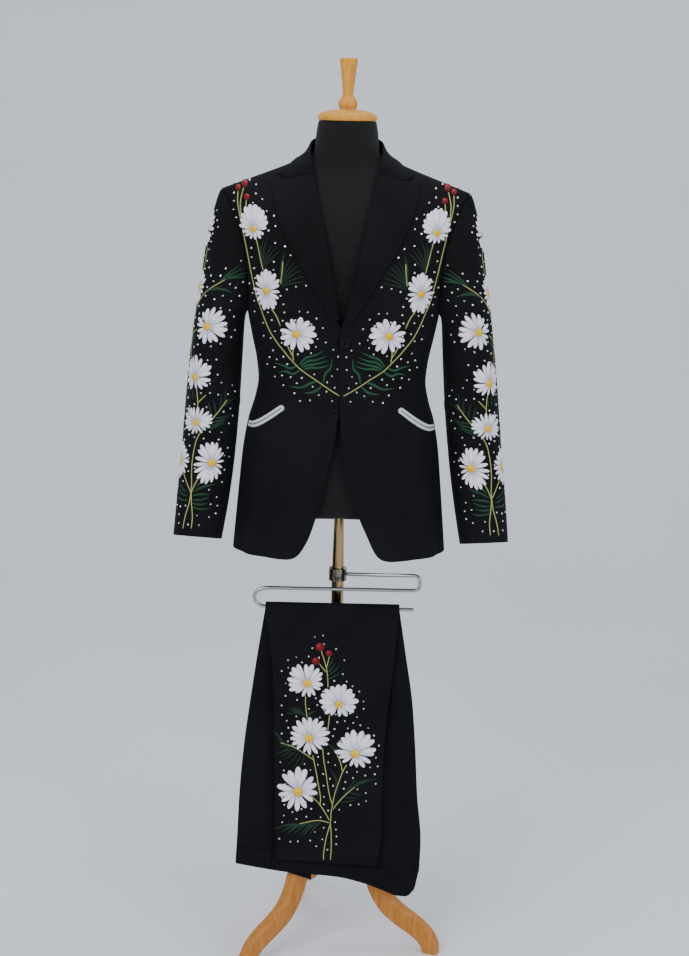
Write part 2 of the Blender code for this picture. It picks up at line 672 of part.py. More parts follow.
def lapel(side, edge, start, name):
    roll = LAPEL["roll"][start:]
    if start:
        roll = roll.copy()
        roll[0] = UNDER_LAPEL_ROLL
    roll_x = smooth(edge["height"], edge["x"], roll)
    edge_x = LAPEL["edge_x"][start:]
    edge_z = LAPEL["edge_z"][start:]
    base, normal = front_at(roll_x, roll)[2:]
    tip = front_at(edge_x, edge_z)[2]
    toward = tip - base
    toward = unit(toward - normal * np.sum(toward * normal, axis=-1, keepdims=True))
    fold = fold_points(base, normal, toward, FOLD_RADIUS, CLOTH)
    share = LAPEL_LIFT["share"][None, 1:]
    x = roll_x[:, None] + (edge_x - roll_x)[:, None] * share
    z = roll[:, None] + (edge_z - roll)[:, None] * share
    lift = np.broadcast_to(LAPEL_LIFT["lift"][None, 1:], x.shape)
    outer = np.concatenate([fold, laid_points(x, z, lift)], axis=1)
    facing = np.concatenate([fold_normals(normal, toward), front_at(x, z)[3]], axis=1)
    inner = outer - facing * LAPEL_CLOTH
    return wall(name, mirror(outer, side), mirror(inner, side), cloth_black)


def collar_stations():
    """Fold centre, way up, way to the neck, fall edge and neck seam, front end to centre back."""
    fold = np.stack([COLLAR["fold_x"], COLLAR["fold_y"], COLLAR["fold_z"]], axis=-1)
    seam = np.stack([COLLAR["seam_x"], COLLAR["seam_y"], COLLAR["seam_z"]], axis=-1)
    v = row_of_plan(COLLAR["edge_x"], COLLAR["edge_y"])
    theta = theta_of_x(COLLAR["edge_x"], v)
    theta = np.where(COLLAR["edge_y"] > 0, math.pi - theta, theta)
    edge = body_point(theta, v) + body_normal(theta, v) * COLLAR_LIFT
    up = unit(fold - 0.5 * (seam + edge))
    neckward = seam - edge
    neckward = unit(neckward - up * np.sum(neckward * up, axis=-1, keepdims=True))
    return fold, up, neckward, edge, seam


def whole_collar(half):
    """Half collar rows, mirrored over the centre back."""
    return np.concatenate([half, mirror(half[:-1][::-1], -1)])


def collar_fall(name):
    fold, up, neckward, edge, _ = collar_stations()
    angle = np.radians(np.array(FOLD_STEPS, dtype=float))[None, :, None]
    arc = (fold[:, None] + neckward[:, None] * COLLAR_FOLD * np.cos(angle)
           + up[:, None] * COLLAR_FOLD * np.sin(angle))
    start = arc[:, -1]
    shares = np.array(FALL_SHARES)[None, :, None]
    swell = 0.0016 * np.sin(math.pi * shares)
    fall = start[:, None] + (edge - start)[:, None] * shares - neckward[:, None] * swell
    rows = np.concatenate([arc, fall], axis=1)

    gorge_x = smooth(OVER_EDGE["height"], OVER_EDGE["x"], LAPEL["roll"][-1])
    gorge_z = LAPEL["roll"][-1]
    tip_x, tip_z = COLLAR_TIP
    lapel_x, lapel_z = LAPEL["edge_x"][-1], LAPEL["edge_z"][-1]
    notch_x = gorge_x + (lapel_x - gorge_x) * NOTCH_SHARE
    notch_z = gorge_z + (lapel_z - gorge_z) * NOTCH_SHARE
    base, normal = front_at(np.array([gorge_x]), np.array([gorge_z]))[2:]
    over = front_at(np.array([lapel_x]), np.array([lapel_z]))[2]
    toward = unit(over - base - normal * np.sum((over - base) * normal, axis=-1, keepdims=True))
    end_arc = fold_points(base, normal, toward, FOLD_RADIUS, CLOTH)
    end_x = np.array([[gorge_x + (notch_x - gorge_x) * 0.5, notch_x, tip_x]])
    end_z = np.array([[gorge_z + (notch_z - gorge_z) * 0.5, notch_z, tip_z]])
    end_fall = laid_points(end_x, end_z, np.array([[0.0043, 0.0041, 0.0040]]))
    end = np.concatenate([end_arc, end_fall], axis=1)
    end = end + np.array([0.0, 0.0, GAP * 1.4])
    rows = np.concatenate([end, rows])
    outer = whole_collar(rows)
    facing = grid_normals(outer)
    folds = len(FOLD_STEPS) - 1
    own = neckward[:, None] * np.cos(angle) + up[:, None] * np.sin(angle)
    own = whole_collar(np.concatenate([fold_normals(normal, toward), own]))
    facing[:, :folds] = own[:, :folds]
    end = np.concatenate([fold_normals(normal, toward), front_at(end_x, end_z)[3]], axis=1)
    facing[0] = end[0]
    facing[-1] = mirror(end[0], -1)
    inner = outer - facing * COLLAR_CLOTH
    return wall(name, outer, inner, cloth_black)


def collar_stand(name):
    fold, up, neckward, _, seam = collar_stations()
    top = fold + neckward * COLLAR_FOLD - up * GAP
    middle = seam + (top - seam) * 0.5 + neckward * 0.0006
    rows = np.stack([seam, middle, top], axis=1)[1:]
    outward = -neckward[1:, None]
    outer = whole_collar(rows)
    inner = whole_collar(rows + outward * COLLAR_CLOTH)
    return wall(name, outer, inner, cloth_black)


def pocket_piping(side, name):
    """Double cord round the pocket mouth, a strip across its line, on the front's own points."""
    x, z = POCKET["x"], POCKET["height"]
    dx, dz = np.gradient(x), np.gradient(z)
    length = np.hypot(dx, dz)
    ax, az = -dz / length, dx / length
    across = POCKET_PROFILE["across"][None, :]
    _, _, outer, normal = front_at(x[:, None] + ax[:, None] * across, z[:, None] + az[:, None] * across)
    lift = POCKET_PROFILE["lift"][None, :, None]
    base = outer + normal * POCKET_BASE
    top = outer + normal * (POCKET_BASE + lift)
    return wall(name, mirror(top, side), mirror(base, side), white_cord)


def button(side, place, depth, name):
    """Round button on a shank, standing on a front whose cloth lies at the given depth."""
    _, _, point, normal = front_at(np.array([place[0]]), np.array([place[1]]))
    point, normal = point[0] - normal[0] * depth, normal[0]
    right = unit(np.cross(np.array([0.0, 0.0, 1.0]), normal))
    up = np.cross(normal, right)
    rim = BUTTON_OFF + BUTTON_THICK
    profile = ((0.0, GAP), (BUTTON_SHANK, GAP), (BUTTON_SHANK, BUTTON_OFF),
               (BUTTON_RADIUS, BUTTON_OFF + 0.0004), (BUTTON_RADIUS, rim), (BUTTON_RADIUS * 0.72, rim),
               (BUTTON_RADIUS * 0.60, rim - BUTTON_DISH), (0.0, rim - BUTTON_DISH))
    points, faces = turned(profile, BUTTON_SIDES)
    placed = (point + points[:, :1] * right + points[:, 1:2] * up + points[:, 2:] * normal)
    return add_mesh(name, mirror(placed, side), faces, black_button)


def turned(profile, sides):
    """Solid of revolution; profile points on the axis become single points."""
    angles = np.arange(sides) * 2 * math.pi / sides
    points = []
    rings = []
    for radius, height in profile:
        if radius == 0.0:
            rings.append([len(points)] * sides)
            points.append((0.0, 0.0, height))
        else:
            rings.append(list(range(len(points), len(points) + sides)))
            points.extend((radius * math.cos(a), radius * math.sin(a), height) for a in angles)
    faces = []
    closed = profile[0][0] > 0.0
    pairs = list(zip(rings, rings[1:])) + ([(rings[-1], rings[0])] if closed else [])
    for low, high in pairs:
        for k in range(sides):
            m = (k + 1) % sides
            corners = [low[k], low[m], high[m], high[k]]
            unique = list(dict.fromkeys(corners))
            if len(unique) > 2:
                faces.append(tuple(unique))
    return np.array(points), faces


def turned_part(name, profile, finish):
    points, faces = turned(profile, TURN_SIDES)
    return add_mesh(name, points, faces, finish)


def inside_body(x, y, z):
    """How far (x, y, z) is inside the jacket's outer face: below one is inside."""
    v = np.full(np.shape(x), DOME_FROM)
    low = np.full(np.shape(x), 0.80)
    high = np.full(np.shape(x), RIDGE)
    facing = np.where(y < 0, 1.0, -1.0)
    for _ in range(32):
        v = 0.5 * (low + high)
        fall, turn, height = body_ring(v)[3:]
        here = height - fall * spread(x) + neck_lift(x, turn, facing)
        low = np.where(here < z, v, low)
        high = np.where(here < z, high, v)
    width, front, back, fall, turn, height = body_ring(v)
    top = RIDGE - SHOULDER_SLOPE * spread(x) + neck_lift(x, math.pi / 2, facing)
    depth = np.maximum(np.where(y < 0, front, back), 1e-6)
    value = (np.abs(x) / width) ** (2 / ROUNDNESS) + (np.abs(y) / depth) ** (2 / ROUNDNESS)
    return np.where(z > top, 9.0, value)


def torso_form(name):
    """Smooth limbless torso with a neck, inside the jacket all round."""
    heights = np.array(FORM_ROWS)
    turns = np.linspace(0.0, 2 * math.pi, FORM_SIDES, endpoint=False)
    turns = turns + 0.22 * np.sin(2 * turns)
    way_x, way_y = np.cos(turns)[None, :], np.sin(turns)[None, :]
    nearness = ramp(FORM_CLEAR_FROM, FORM_CLEAR_TO, heights)
    clear = FORM_CLEAR_LOW + (FORM_CLEAR_HIGH - FORM_CLEAR_LOW) * nearness
    z = np.broadcast_to((heights + clear * nearness)[:, None], (len(heights), FORM_SIDES))
    low = np.zeros(z.shape)
    high = np.full(z.shape, 0.30)
    for _ in range(26):
        middle = 0.5 * (low + high)
        within = inside_body(middle * way_x, middle * way_y, z) < 1.0
        low = np.where(within, middle, low)
        high = np.where(within, high, middle)
    torso = np.maximum(low - clear[:, None], 0.0)
    neck = smooth(NECK["height"], NECK["radius"], heights)[:, None]
    neck = np.where(heights[:, None] < NECK["height"][0], 0.0, neck)
    radius = 0.5 * (torso + neck + np.sqrt((torso - neck) ** 2 + FORM_BLEND ** 2)) - FORM_BLEND / 4
    radius = np.where(neck > 0, radius, torso)
    shrink = np.where(heights < FORM_ROWS[1], 0.985, 1.0)[:, None]
    grid = np.stack([radius * shrink * way_x, radius * shrink * way_y,
                     np.broadcast_to(heights[:, None], radius.shape)], axis=-1)
    count = FORM_SIDES
    points = grid.reshape(-1, 3)
    faces = []
    for row in range(len(heights) - 1):
        for k in range(count):
            m = (k + 1) % count
            faces.append((row * count + k, row * count + m, (row + 1) * count + m, (row + 1) * count + k))
    faces.append(tuple(reversed(range(count))))
    last = (len(heights) - 1) * count
    faces.append(tuple(range(last, last + count)))
    return add_mesh(name, points, faces, form_black)


def swept(name, path, radius, sides, finish):
    """Round rod along a path of points."""
    path = np.array(path, dtype=float)
    along = unit(np.gradient(path, axis=0))
    along[0] = unit(path[1] - path[0])
    along[-1] = unit(path[-1] - path[-2])
    side = unit(np.cross(along, np.array([0.0, 1.0, 0.0])))
    other = np.cross(along, side)
    angles = np.arange(sides) * 2 * math.pi / sides
    rings = (path[:, None] + radius * (side[:, None] * np.cos(angles)[None, :, None]
                                       + other[:, None] * np.sin(angles)[None, :, None]))
    faces = []
    for row in range(len(path) - 1):
        for k in range(sides):
            m = (k + 1) % sides
            faces.append((row * sides + k, row * sides + m, (row + 1) * sides + m, (row + 1) * sides + k))
    faces.append(tuple(reversed(range(sides))))
    last = (len(path) - 1) * sides
    faces.append(tuple(range(last, last + sides)))
    return add_mesh(name, rings.reshape(-1, 3), faces, finish)


def leg(turn, name):
    """Curved wooden leg in an upright plane, with rounded edges and a flat sole."""
    path = np.stack([LEG["out"], LEG["height"]], axis=-1)
    along = unit(np.gradient(path, axis=0))
    along[-1] = (0.0, -1.0)
    across = np.stack([-along[:, 1], along[:, 0]], axis=-1)
    half, thick = LEG["half"], LEG["thick"]
    angle = math.radians(turn)
    rings = []
    for a, b, in_half, in_thick in ((-1, -1, 1, 0), (-1, -1, 0, 1), (-1, 1, 0, 1), (-1, 1, 1, 0),
                                    (1, 1, 1, 0), (1, 1, 0, 1), (1, -1, 0, 1), (1, -1, 1, 0)):
        flat = path + across * (a * (half - in_half * LEG_ROUND))[:, None]
        depth = b * (thick - in_thick * LEG_ROUND)
        x = flat[:, 0] * math.cos(angle) - depth * math.sin(angle)
        y = flat[:, 0] * math.sin(angle) + depth * math.cos(angle)
        rings.append(np.stack([x, y, flat[:, 1]], axis=-1))
    grid = np.stack(rings, axis=1)
    sides = grid.shape[1]
    faces = []
    for row in range(len(path) - 1):
        for k in range(sides):
            m = (k + 1) % sides
            faces.append((row * sides + k, row * sides + m, (row + 1) * sides + m, (row + 1) * sides + k))
    faces.append(tuple(reversed(range(sides))))
    last = (len(path) - 1) * sides
    faces.append(tuple(range(last, last + sides)))
    return add_mesh(name, grid.reshape(-1, 3), faces, pale_wood)


def trouser_rows():
    """Stations along the fold: side of the bar, share down that side, turn over the bar."""
    near = [("near", s, 0.0) for s in NEAR_STEPS]
    over = [("over", 0.0, t) for t in TURN_STEPS]
    rear = [("rear", s, 180.0) for s in REAR_STEPS]
    return near + over + rear


def trouser_line(radius, part, share, turn, width_shares):
    """Points across one station of a layer, at the given shares of the leg's width."""
    if part == "near":
        z = np.full(width_shares.shape, BAR_Z)
        for _ in range(30):
            left = smooth(NEAR["height"], NEAR["left"], z)
            right = smooth(NEAR["height"], NEAR["right"], z)
            hem = NEAR_HEM_LEFT + (NEAR_HEM_RIGHT - NEAR_HEM_LEFT) * width_shares
            z = hem + (BAR_Z - hem) * share
        y = BAR_Y - radius - (BAR_Z - z) * LEAN
    elif part == "over":
        left = np.full(width_shares.shape, NEAR["left"][-1])
        right = np.full(width_shares.shape, NEAR["right"][-1])
        z = np.full(width_shares.shape, BAR_Z + radius * math.sin(math.radians(turn)))
        y = np.full(width_shares.shape, BAR_Y - radius * math.cos(math.radians(turn)))
    else:
        z = np.full(width_shares.shape, BAR_Z)
        for _ in range(60):
            left = smooth(REAR["height"], REAR["left"], z)
            right = smooth(REAR["height"], REAR["right"], z)
            waist = smooth(WAIST_EDGE["x"], WAIST_EDGE["height"], left + (right - left) * width_shares)
            z = 0.5 * z + 0.5 * (BAR_Z + (waist - BAR_Z) * share)
        y = BAR_Y + radius - (BAR_Z - z) * LEAN
    x = left + (right - left) * width_shares
    return np.stack([x, y, z], axis=-1)


def trouser_piece(low, high, first, last, name, columns=5, rows=None, finish=cloth_black):
    """Piece of one layer between two distances from the bar and two shares of the width."""
    shares = np.linspace(first, last, columns)
    outer = np.array([trouser_line(high, *station, shares) for station in rows or trouser_rows()])
    inner = np.array([trouser_line(low, *station, shares) for station in rows or trouser_rows()])
    return wall(name, outer, inner, finish)


def rear_rows(steps):
    return [("rear", step, 180.0) for step in steps]


def pocket_bag(low, high, name):
    """Corner of the pocket bag that shows below the waist edge."""
    x = POCKET_BAG["x"]
    waist = smooth(WAIST_EDGE["x"], WAIST_EDGE["height"], x) - GAP
    z = np.stack([waist, waist - POCKET_BAG["drop"]])
    y = BAR_Y - (BAR_Z - z) * LEAN
    grid = np.stack([np.broadcast_to(x, z.shape), y, z], axis=-1)
    return wall(name, grid + np.array([0.0, high, 0.0]), grid + np.array([0.0, low, 0.0]), dark_lining)


def build_jacket():
    front_panel(1, OVER_EDGE, "jacket_front_left")
    front_panel(-1, UNDER_EDGE, "jacket_front_right")
    for side, word in ((1, "left"), (-1, "right")):
        side_panel(side, "jacket_side_" + word)
        back_panel(side, "jacket_back_" + word)
        sleeve_piece(side, SLEEVE_FRONT_SEAM, SLEEVE_BACK_SEAM, "sleeve_upper_" + word)
        sleeve_piece(side, SLEEVE_BACK_SEAM, SLEEVE_FRONT_SEAM, "sleeve_under_" + word)
        pocket_piping(side, "pocket_piping_" + word)
    lapel(1, OVER_EDGE, 0, "lapel_left")
    lapel(-1, UNDER_EDGE, UNDER_LAPEL_FROM, "lapel_right")
    collar_fall("collar_fall")
    collar_stand("collar_stand")
    button(1, BUTTON_UPPER, 0.0, "button_upper")
    button(-1, BUTTON_LOWER, OVERLAP_DEPTH, "button_lower")


def build_stand():
    torso_form("torso_form")
    turned_part("neck_cap", CAP, pale_wood)
    turned_part("finial", FINIAL, pale_wood)
    turned_part("socket", SOCKET, old_brass)
    turned_part("pole", POLE, old_brass)
    turned_part("clamp_collar", CLAMP, old_brass)
    turned_part("hub", HUB, pale_wood)
    swept("trouser_bar", ROD_PATH, ROD_RADIUS, ROD_SIDES, bright_steel)
    for number, turn in enumerate(LEG_TURNS):
        leg(turn, "leg_" + str(number + 1))


def build_trousers():
    low = ROD_RADIUS + GAP
    high = low + TROUSER_CLOTH
    band = low - GAP - WAISTBAND_CLOTH
    loop = band - GAP - BELT_LOOP_CLOTH
    trouser_piece(low, high, 0.0, OUTSEAM - OUTSEAM_PULL, "trouser_left_front")
    trouser_piece(low, high, OUTSEAM + OUTSEAM_PULL, 1.0, "trouser_left_back")
    rows = rear_rows(WAISTBAND_STEPS)
    trouser_piece(band, low - GAP, 0.0, 1.0, "waistband_left", 12, rows)
    trouser_piece(band, low - GAP, *WELT_SPAN, "back_pocket_welt_left", 4, rear_rows(WELT_STEPS))
    for number, middle in enumerate(BELT_LOOPS):
        span = (middle - BELT_LOOP_HALF, middle + BELT_LOOP_HALF)
        name = "belt_loop_left_" + str(number + 1)
        trouser_piece(loop, band - GAP, *span, name, 2, rear_rows(BELT_LOOP_STEPS))
    low = high + GAP
    high = low + CORE_CLOTH
    trouser_piece(low, high, CORE_EDGE, 1.0 - CORE_EDGE, "trouser_inner_layers", 9)
    pocket_bag(low + GAP, low + CORE_CLOTH / 2, "pocket_bag_corner")
    low = high + GAP
    high = low + TROUSER_CLOTH
    band = high + GAP + WAISTBAND_CLOTH
    loop = band + GAP + BELT_LOOP_CLOTH
    trouser_piece(low, high, 0.0, OUTSEAM - OUTSEAM_PULL, "trouser_right_front")
    trouser_piece(low, high, OUTSEAM + OUTSEAM_PULL, 1.0, "trouser_right_back")
    trouser_piece(high + GAP, band, 0.0, 1.0, "waistband_right", 12, rows)
    trouser_piece(high + GAP, band, *WELT_SPAN, "back_pocket_welt_right", 4, rear_rows(WELT_STEPS))
    for number, middle in enumerate(BELT_LOOPS):
        span = (middle - BELT_LOOP_HALF, middle + BELT_LOOP_HALF)
        name = "belt_loop_right_" + str(number + 1)
        trouser_piece(band + GAP, loop, *span, name, 2, rear_rows(BELT_LOOP_STEPS))


clear_scene()
build_jacket()
build_stand()
build_trousers()
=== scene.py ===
import json
import math

import bpy
import numpy as np
from mathutils import Matrix

# Sizes from the stand's axis: X to the viewer's right, Y away, Z up. Tables are in millimetres, single
# sizes in metres, angles in degrees.
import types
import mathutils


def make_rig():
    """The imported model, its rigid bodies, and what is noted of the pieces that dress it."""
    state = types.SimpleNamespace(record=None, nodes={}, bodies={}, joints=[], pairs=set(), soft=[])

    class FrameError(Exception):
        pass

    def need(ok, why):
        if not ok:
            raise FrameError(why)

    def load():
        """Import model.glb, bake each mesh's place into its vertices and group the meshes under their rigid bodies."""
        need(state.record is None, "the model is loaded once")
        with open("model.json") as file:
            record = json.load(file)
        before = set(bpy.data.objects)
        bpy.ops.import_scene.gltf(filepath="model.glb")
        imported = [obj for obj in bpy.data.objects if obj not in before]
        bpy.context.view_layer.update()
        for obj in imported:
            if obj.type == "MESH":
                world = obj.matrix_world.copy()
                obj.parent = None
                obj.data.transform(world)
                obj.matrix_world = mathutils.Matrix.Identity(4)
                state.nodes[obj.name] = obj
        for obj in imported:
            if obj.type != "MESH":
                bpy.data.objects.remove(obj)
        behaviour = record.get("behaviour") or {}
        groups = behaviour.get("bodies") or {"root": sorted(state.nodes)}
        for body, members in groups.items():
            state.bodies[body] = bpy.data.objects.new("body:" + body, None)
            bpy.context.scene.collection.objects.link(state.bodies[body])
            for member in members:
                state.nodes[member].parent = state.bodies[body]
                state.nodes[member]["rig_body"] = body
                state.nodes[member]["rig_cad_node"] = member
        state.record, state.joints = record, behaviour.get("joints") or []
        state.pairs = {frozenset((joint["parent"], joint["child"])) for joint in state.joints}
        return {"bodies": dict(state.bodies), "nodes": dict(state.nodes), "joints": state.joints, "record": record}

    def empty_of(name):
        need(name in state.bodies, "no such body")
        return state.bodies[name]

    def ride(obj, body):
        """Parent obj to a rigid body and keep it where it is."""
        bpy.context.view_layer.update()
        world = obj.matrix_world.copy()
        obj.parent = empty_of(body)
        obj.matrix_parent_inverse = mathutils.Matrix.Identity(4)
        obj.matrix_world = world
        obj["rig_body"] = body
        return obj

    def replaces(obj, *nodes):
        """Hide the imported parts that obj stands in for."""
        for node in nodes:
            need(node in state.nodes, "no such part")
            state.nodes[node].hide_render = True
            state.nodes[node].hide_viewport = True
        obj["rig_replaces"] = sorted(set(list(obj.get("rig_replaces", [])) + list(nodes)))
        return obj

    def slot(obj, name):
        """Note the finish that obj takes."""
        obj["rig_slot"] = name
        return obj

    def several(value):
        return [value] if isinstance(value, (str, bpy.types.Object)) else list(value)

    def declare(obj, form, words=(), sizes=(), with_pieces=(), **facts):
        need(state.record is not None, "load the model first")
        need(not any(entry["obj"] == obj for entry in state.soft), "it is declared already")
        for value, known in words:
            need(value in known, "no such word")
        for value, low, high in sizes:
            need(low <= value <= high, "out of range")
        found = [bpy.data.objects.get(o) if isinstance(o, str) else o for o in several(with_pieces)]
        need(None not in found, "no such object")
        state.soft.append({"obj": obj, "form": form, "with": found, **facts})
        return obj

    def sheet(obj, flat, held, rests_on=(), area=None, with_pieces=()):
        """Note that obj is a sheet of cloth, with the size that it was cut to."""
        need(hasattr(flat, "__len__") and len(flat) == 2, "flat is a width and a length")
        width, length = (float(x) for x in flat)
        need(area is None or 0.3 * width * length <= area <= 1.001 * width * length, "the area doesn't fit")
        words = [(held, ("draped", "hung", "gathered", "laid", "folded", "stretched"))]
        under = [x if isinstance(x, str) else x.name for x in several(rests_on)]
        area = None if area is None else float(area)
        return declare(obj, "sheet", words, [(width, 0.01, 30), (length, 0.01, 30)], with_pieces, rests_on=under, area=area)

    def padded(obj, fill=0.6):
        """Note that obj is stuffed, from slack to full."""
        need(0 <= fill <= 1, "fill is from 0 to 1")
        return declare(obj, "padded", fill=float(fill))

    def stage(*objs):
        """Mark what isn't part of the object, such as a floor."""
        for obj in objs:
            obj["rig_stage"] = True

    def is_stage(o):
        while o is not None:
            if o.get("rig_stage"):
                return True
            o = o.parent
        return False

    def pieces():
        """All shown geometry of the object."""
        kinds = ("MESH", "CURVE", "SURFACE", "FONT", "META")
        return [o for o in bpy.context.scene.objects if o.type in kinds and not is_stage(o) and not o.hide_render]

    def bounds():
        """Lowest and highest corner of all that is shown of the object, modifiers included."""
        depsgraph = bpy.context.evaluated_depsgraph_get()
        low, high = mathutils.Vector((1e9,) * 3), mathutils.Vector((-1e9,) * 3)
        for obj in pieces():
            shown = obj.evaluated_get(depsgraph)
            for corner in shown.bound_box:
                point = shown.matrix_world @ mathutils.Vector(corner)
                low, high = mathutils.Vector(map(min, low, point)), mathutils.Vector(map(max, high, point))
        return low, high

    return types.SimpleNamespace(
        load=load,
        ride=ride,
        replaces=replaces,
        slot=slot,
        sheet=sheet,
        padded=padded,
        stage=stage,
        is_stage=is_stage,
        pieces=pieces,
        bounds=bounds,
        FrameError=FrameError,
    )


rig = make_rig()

def metres(rows):
    """Rows of millimetres as an array of metres."""
    return np.round(np.array(rows, dtype=float) / 1000.0, 7)


def table(columns, *rows):
    """Named columns; those before the bar are lengths in millimetres, those behind it plain numbers."""
    lengths, _, plain = columns.partition("|")
    data = np.array(rows, dtype=float)
    count = len(lengths.split())
    data[:, :count] = metres(data[:, :count])
    return dict(zip((lengths + plain).split(), data.T))


def charted(*lines):
    """Lines of points in millimetres, each as an array of metres."""
    return [metres(line) for line in lines]


SIDES = ((1, "left"), (-1, "right"))
GAP = 0.0003
CLOTH = 0.0020
LAPEL_CLOTH = 0.0017
TROUSER_CLOTH = 0.0014
CORE_CLOTH = 0.0026

# Middle of the whole part seen from above, measured from the stand's axis; it goes to the origin.
MIDDLE = (0.0040, 0.0305, 0.0)

# Jacket body: one row for each height, measured at the centre line.
RING = table(
    "height half_width front back",
    (812, 201, 130, 124), (860, 197, 130, 124), (940, 190, 130, 121), (1010, 183, 128, 116),
    (1060, 174, 125, 110), (1100, 162, 122, 104), (1135, 156, 120, 100), (1170, 159, 122, 101),
    (1220, 169, 128, 107), (1268, 178, 132, 114), (1340, 186, 133, 121), (1400, 193, 133, 124),
    (1460, 206, 133, 124), (1558.4, 228, 133, 124))
DOME_FROM = 1.340
RIDGE = 1.5584
DOME_POWER = 1.2
ROUNDNESS = 0.80
SLOPE_FROM = 1.268
SHOULDER_SLOPE = 0.3846
SLOPE_SOFT = 0.030
NECK_RISE = 0.038
NECK_RISE_WIDTH = 0.055
NECK_HALF_WIDTH = 0.079
NECK_BACK = 0.070
BACK_HEM_RISE = 0.017
BACK_HEM_FADE = 0.960

# Rows of every body panel: plain heights, then steps over the shoulder in degrees of the dome.
LOW_ROWS = (0.815, 0.8166, 0.8205, 0.829, 0.845, 0.870, 0.905, 0.950, 0.995,
            1.035, 1.070, 1.100, 1.135, 1.170, 1.210, 1.240, 1.268)
HIGH_ROWS = (1.300, 1.340)
DOME_STEPS = (16, 31, 45, 58, 70, 80, 90)
ARMHOLE = table(
    "| step front back",
    (-30, 75, 106), (-16, 70.5, 110), (0, 68.5, 112), (16, 68.5, 112.5), (31, 69.3, 112), (45, 71.3, 110.2),
    (58, 74.5, 107), (70, 78.8, 102.4), (80, 84, 96.5), (90, 90, 90))
ARMHOLE_FROM = 1.268
SIDE_SEAM_FRONT = 75.0
SIDE_SEAM_BACK = 106.0
SEAM_PULL = math.radians(0.012)

# Centre edge of each front: cutaway, button edge, then the roll line up to the neck.
OVER_EDGE = table(
    "height x",
    (815, 96), (816.6, 86), (820.5, 77.5), (829, 69), (842, 61.5), (860, 53.5), (885, 42), (915, 30),
    (950, 18), (990, 8.5), (1043, 1), (1100, -3), (1180, -6), (1236, -5.5), (1250, 1), (1280, 10),
    (1314, 18), (1345, 25), (1377, 32), (1420, 40), (1457, 47), (1490, 54), (1513, 58.5), (1527, 66),
    (1534.5, 73), (1542.4, 79))
UNDER_EDGE = table(
    "height x",
    (815, 96), (816.6, 87), (820.5, 78.5), (829, 70), (842, 62), (860, 53.5), (894, 42.5), (934, 32.5),
    (980, 22), (1020, 13.5), (1060, 7.5), (1084, 4), (1100, 0.5), (1120, -7), (1150, -15), (1180, -18),
    (1222, -18), (1236, -12), (1246, -2), (1257, 9), (1280, 13.2), (1314, 18), (1345, 24.5), (1377, 31),
    (1420, 39.7), (1457, 47.5), (1490, 54.5), (1513, 58.5), (1527, 66), (1534.5, 73), (1542.4, 79))
OVERLAP_DEPTH = 0.0027
OVERLAP_FROM = 0.028
OVERLAP_TO = 0.055
OVERLAP_TOP = (1.252, 1.266)
ROLL_PULL = 0.0004

# Lapel: the height on the roll line and the matching point of its outer edge.
LAPEL = table(
    "roll edge_x edge_z",
    (1250, 8, 1248), (1260, 16, 1258), (1273, 26, 1272.5), (1297, 42.5, 1299), (1330, 63, 1334),
    (1365, 84.5, 1369), (1400, 101, 1400), (1435, 115.5, 1430), (1470, 126.5, 1462), (1495, 131, 1484),
    (1513, 134, 1497))
UNDER_LAPEL_FROM = 1
UNDER_LAPEL_ROLL = 1.262
NOTCH_SHARE = 0.64
FOLD_RADIUS = 0.0032
LAPEL_LIFT = table("lift | share", (4.4, 0), (4.4, 0.16), (4.1, 0.36), (3.6, 0.64), (3.4, 0.82), (3.3, 1))

# Collar: fold centre, fall edge seen from above, and the seam with the neck, front end to centre back.
COLLAR = table(
    "fold_x fold_y fold_z edge_x edge_y seam_x seam_y seam_z",
    (64, -56, 1530, 111, -25, 66.8, -52, 1526.2), (65.5, -38, 1545, 101, -15, 70.8, -36, 1534.5),
    (66.2, -18, 1557, 93, -5, 75.5, -17, 1541), (66, 2, 1565, 87, 6.5, 78, 1, 1545),
    (63, 22, 1570, 79, 27, 73.5, 24, 1548), (54.5, 42, 1573, 67, 50, 61, 43, 1548),
    (40, 57, 1575, 49, 69, 44, 56.5, 1547), (21, 65, 1576, 26.5, 80, 23, 66, 1546),
    (0, 68, 1576.5, 0, 84, 0, 68.5, 1545.5))
COLLAR_TIP = (0.1220, 1.5110)
COLLAR_FOLD = 0.0022
COLLAR_CLOTH = 0.0012
COLLAR_LIFT = 0.0040

# Sleeve below the armpit: inner and outer point of each ring, middle, half depth, lift of its front.
SLEEVE = table(
    "inner_x inner_z outer_x outer_z middle half_depth lift",
    (183.2, 1232, 275.5, 1240, -6, 71.5, 0), (186.5, 1171, 283.5, 1175, -8, 69, 0),
    (190.5, 1105, 290, 1108, -11, 66, 1), (195.5, 1040, 296, 1042, -15, 63, 3),
    (203, 970, 303, 972, -23, 60, 7), (212, 905, 309, 908, -33, 57, 11),
    (224.5, 832, 315, 838, -45, 53, 14))
SLEEVE_ROUNDNESS = 0.85
SLEEVE_SET_IN = 0.00035
SLEEVE_SWING = 0.004
SLEEVE_SEAM_PULL = 0.0006
SLEEVE_FRONT_SEAM = 4
SLEEVE_BACK_SEAM = -5
# Sleeve head: curves from the armhole to the first ring, and the way they leave the armhole.
HEAD_LEAVE = 0.10
HEAD_ARRIVE = 0.40
HEAD_OUT = (0.42, -0.15)
HEAD_ASIDE = 0.30
HEAD_DOWN = (0.87, 0.09)

# Smile pockets, from the inner end to the side.
POCKET = table(
    "x height",
    (106, 1097.5), (115, 1090.5), (126, 1081.5), (137, 1073), (148, 1065), (157, 1059.5), (164, 1056.3),
    (169, 1055.5), (171.6, 1056.2))
POCKET_BASE = 0.0004

# Middles of the buttons on the fronts.
BUTTON_UPPER = (0.0045, 1.2213)
BUTTON_LOWER = (0.0135, 1.1031)

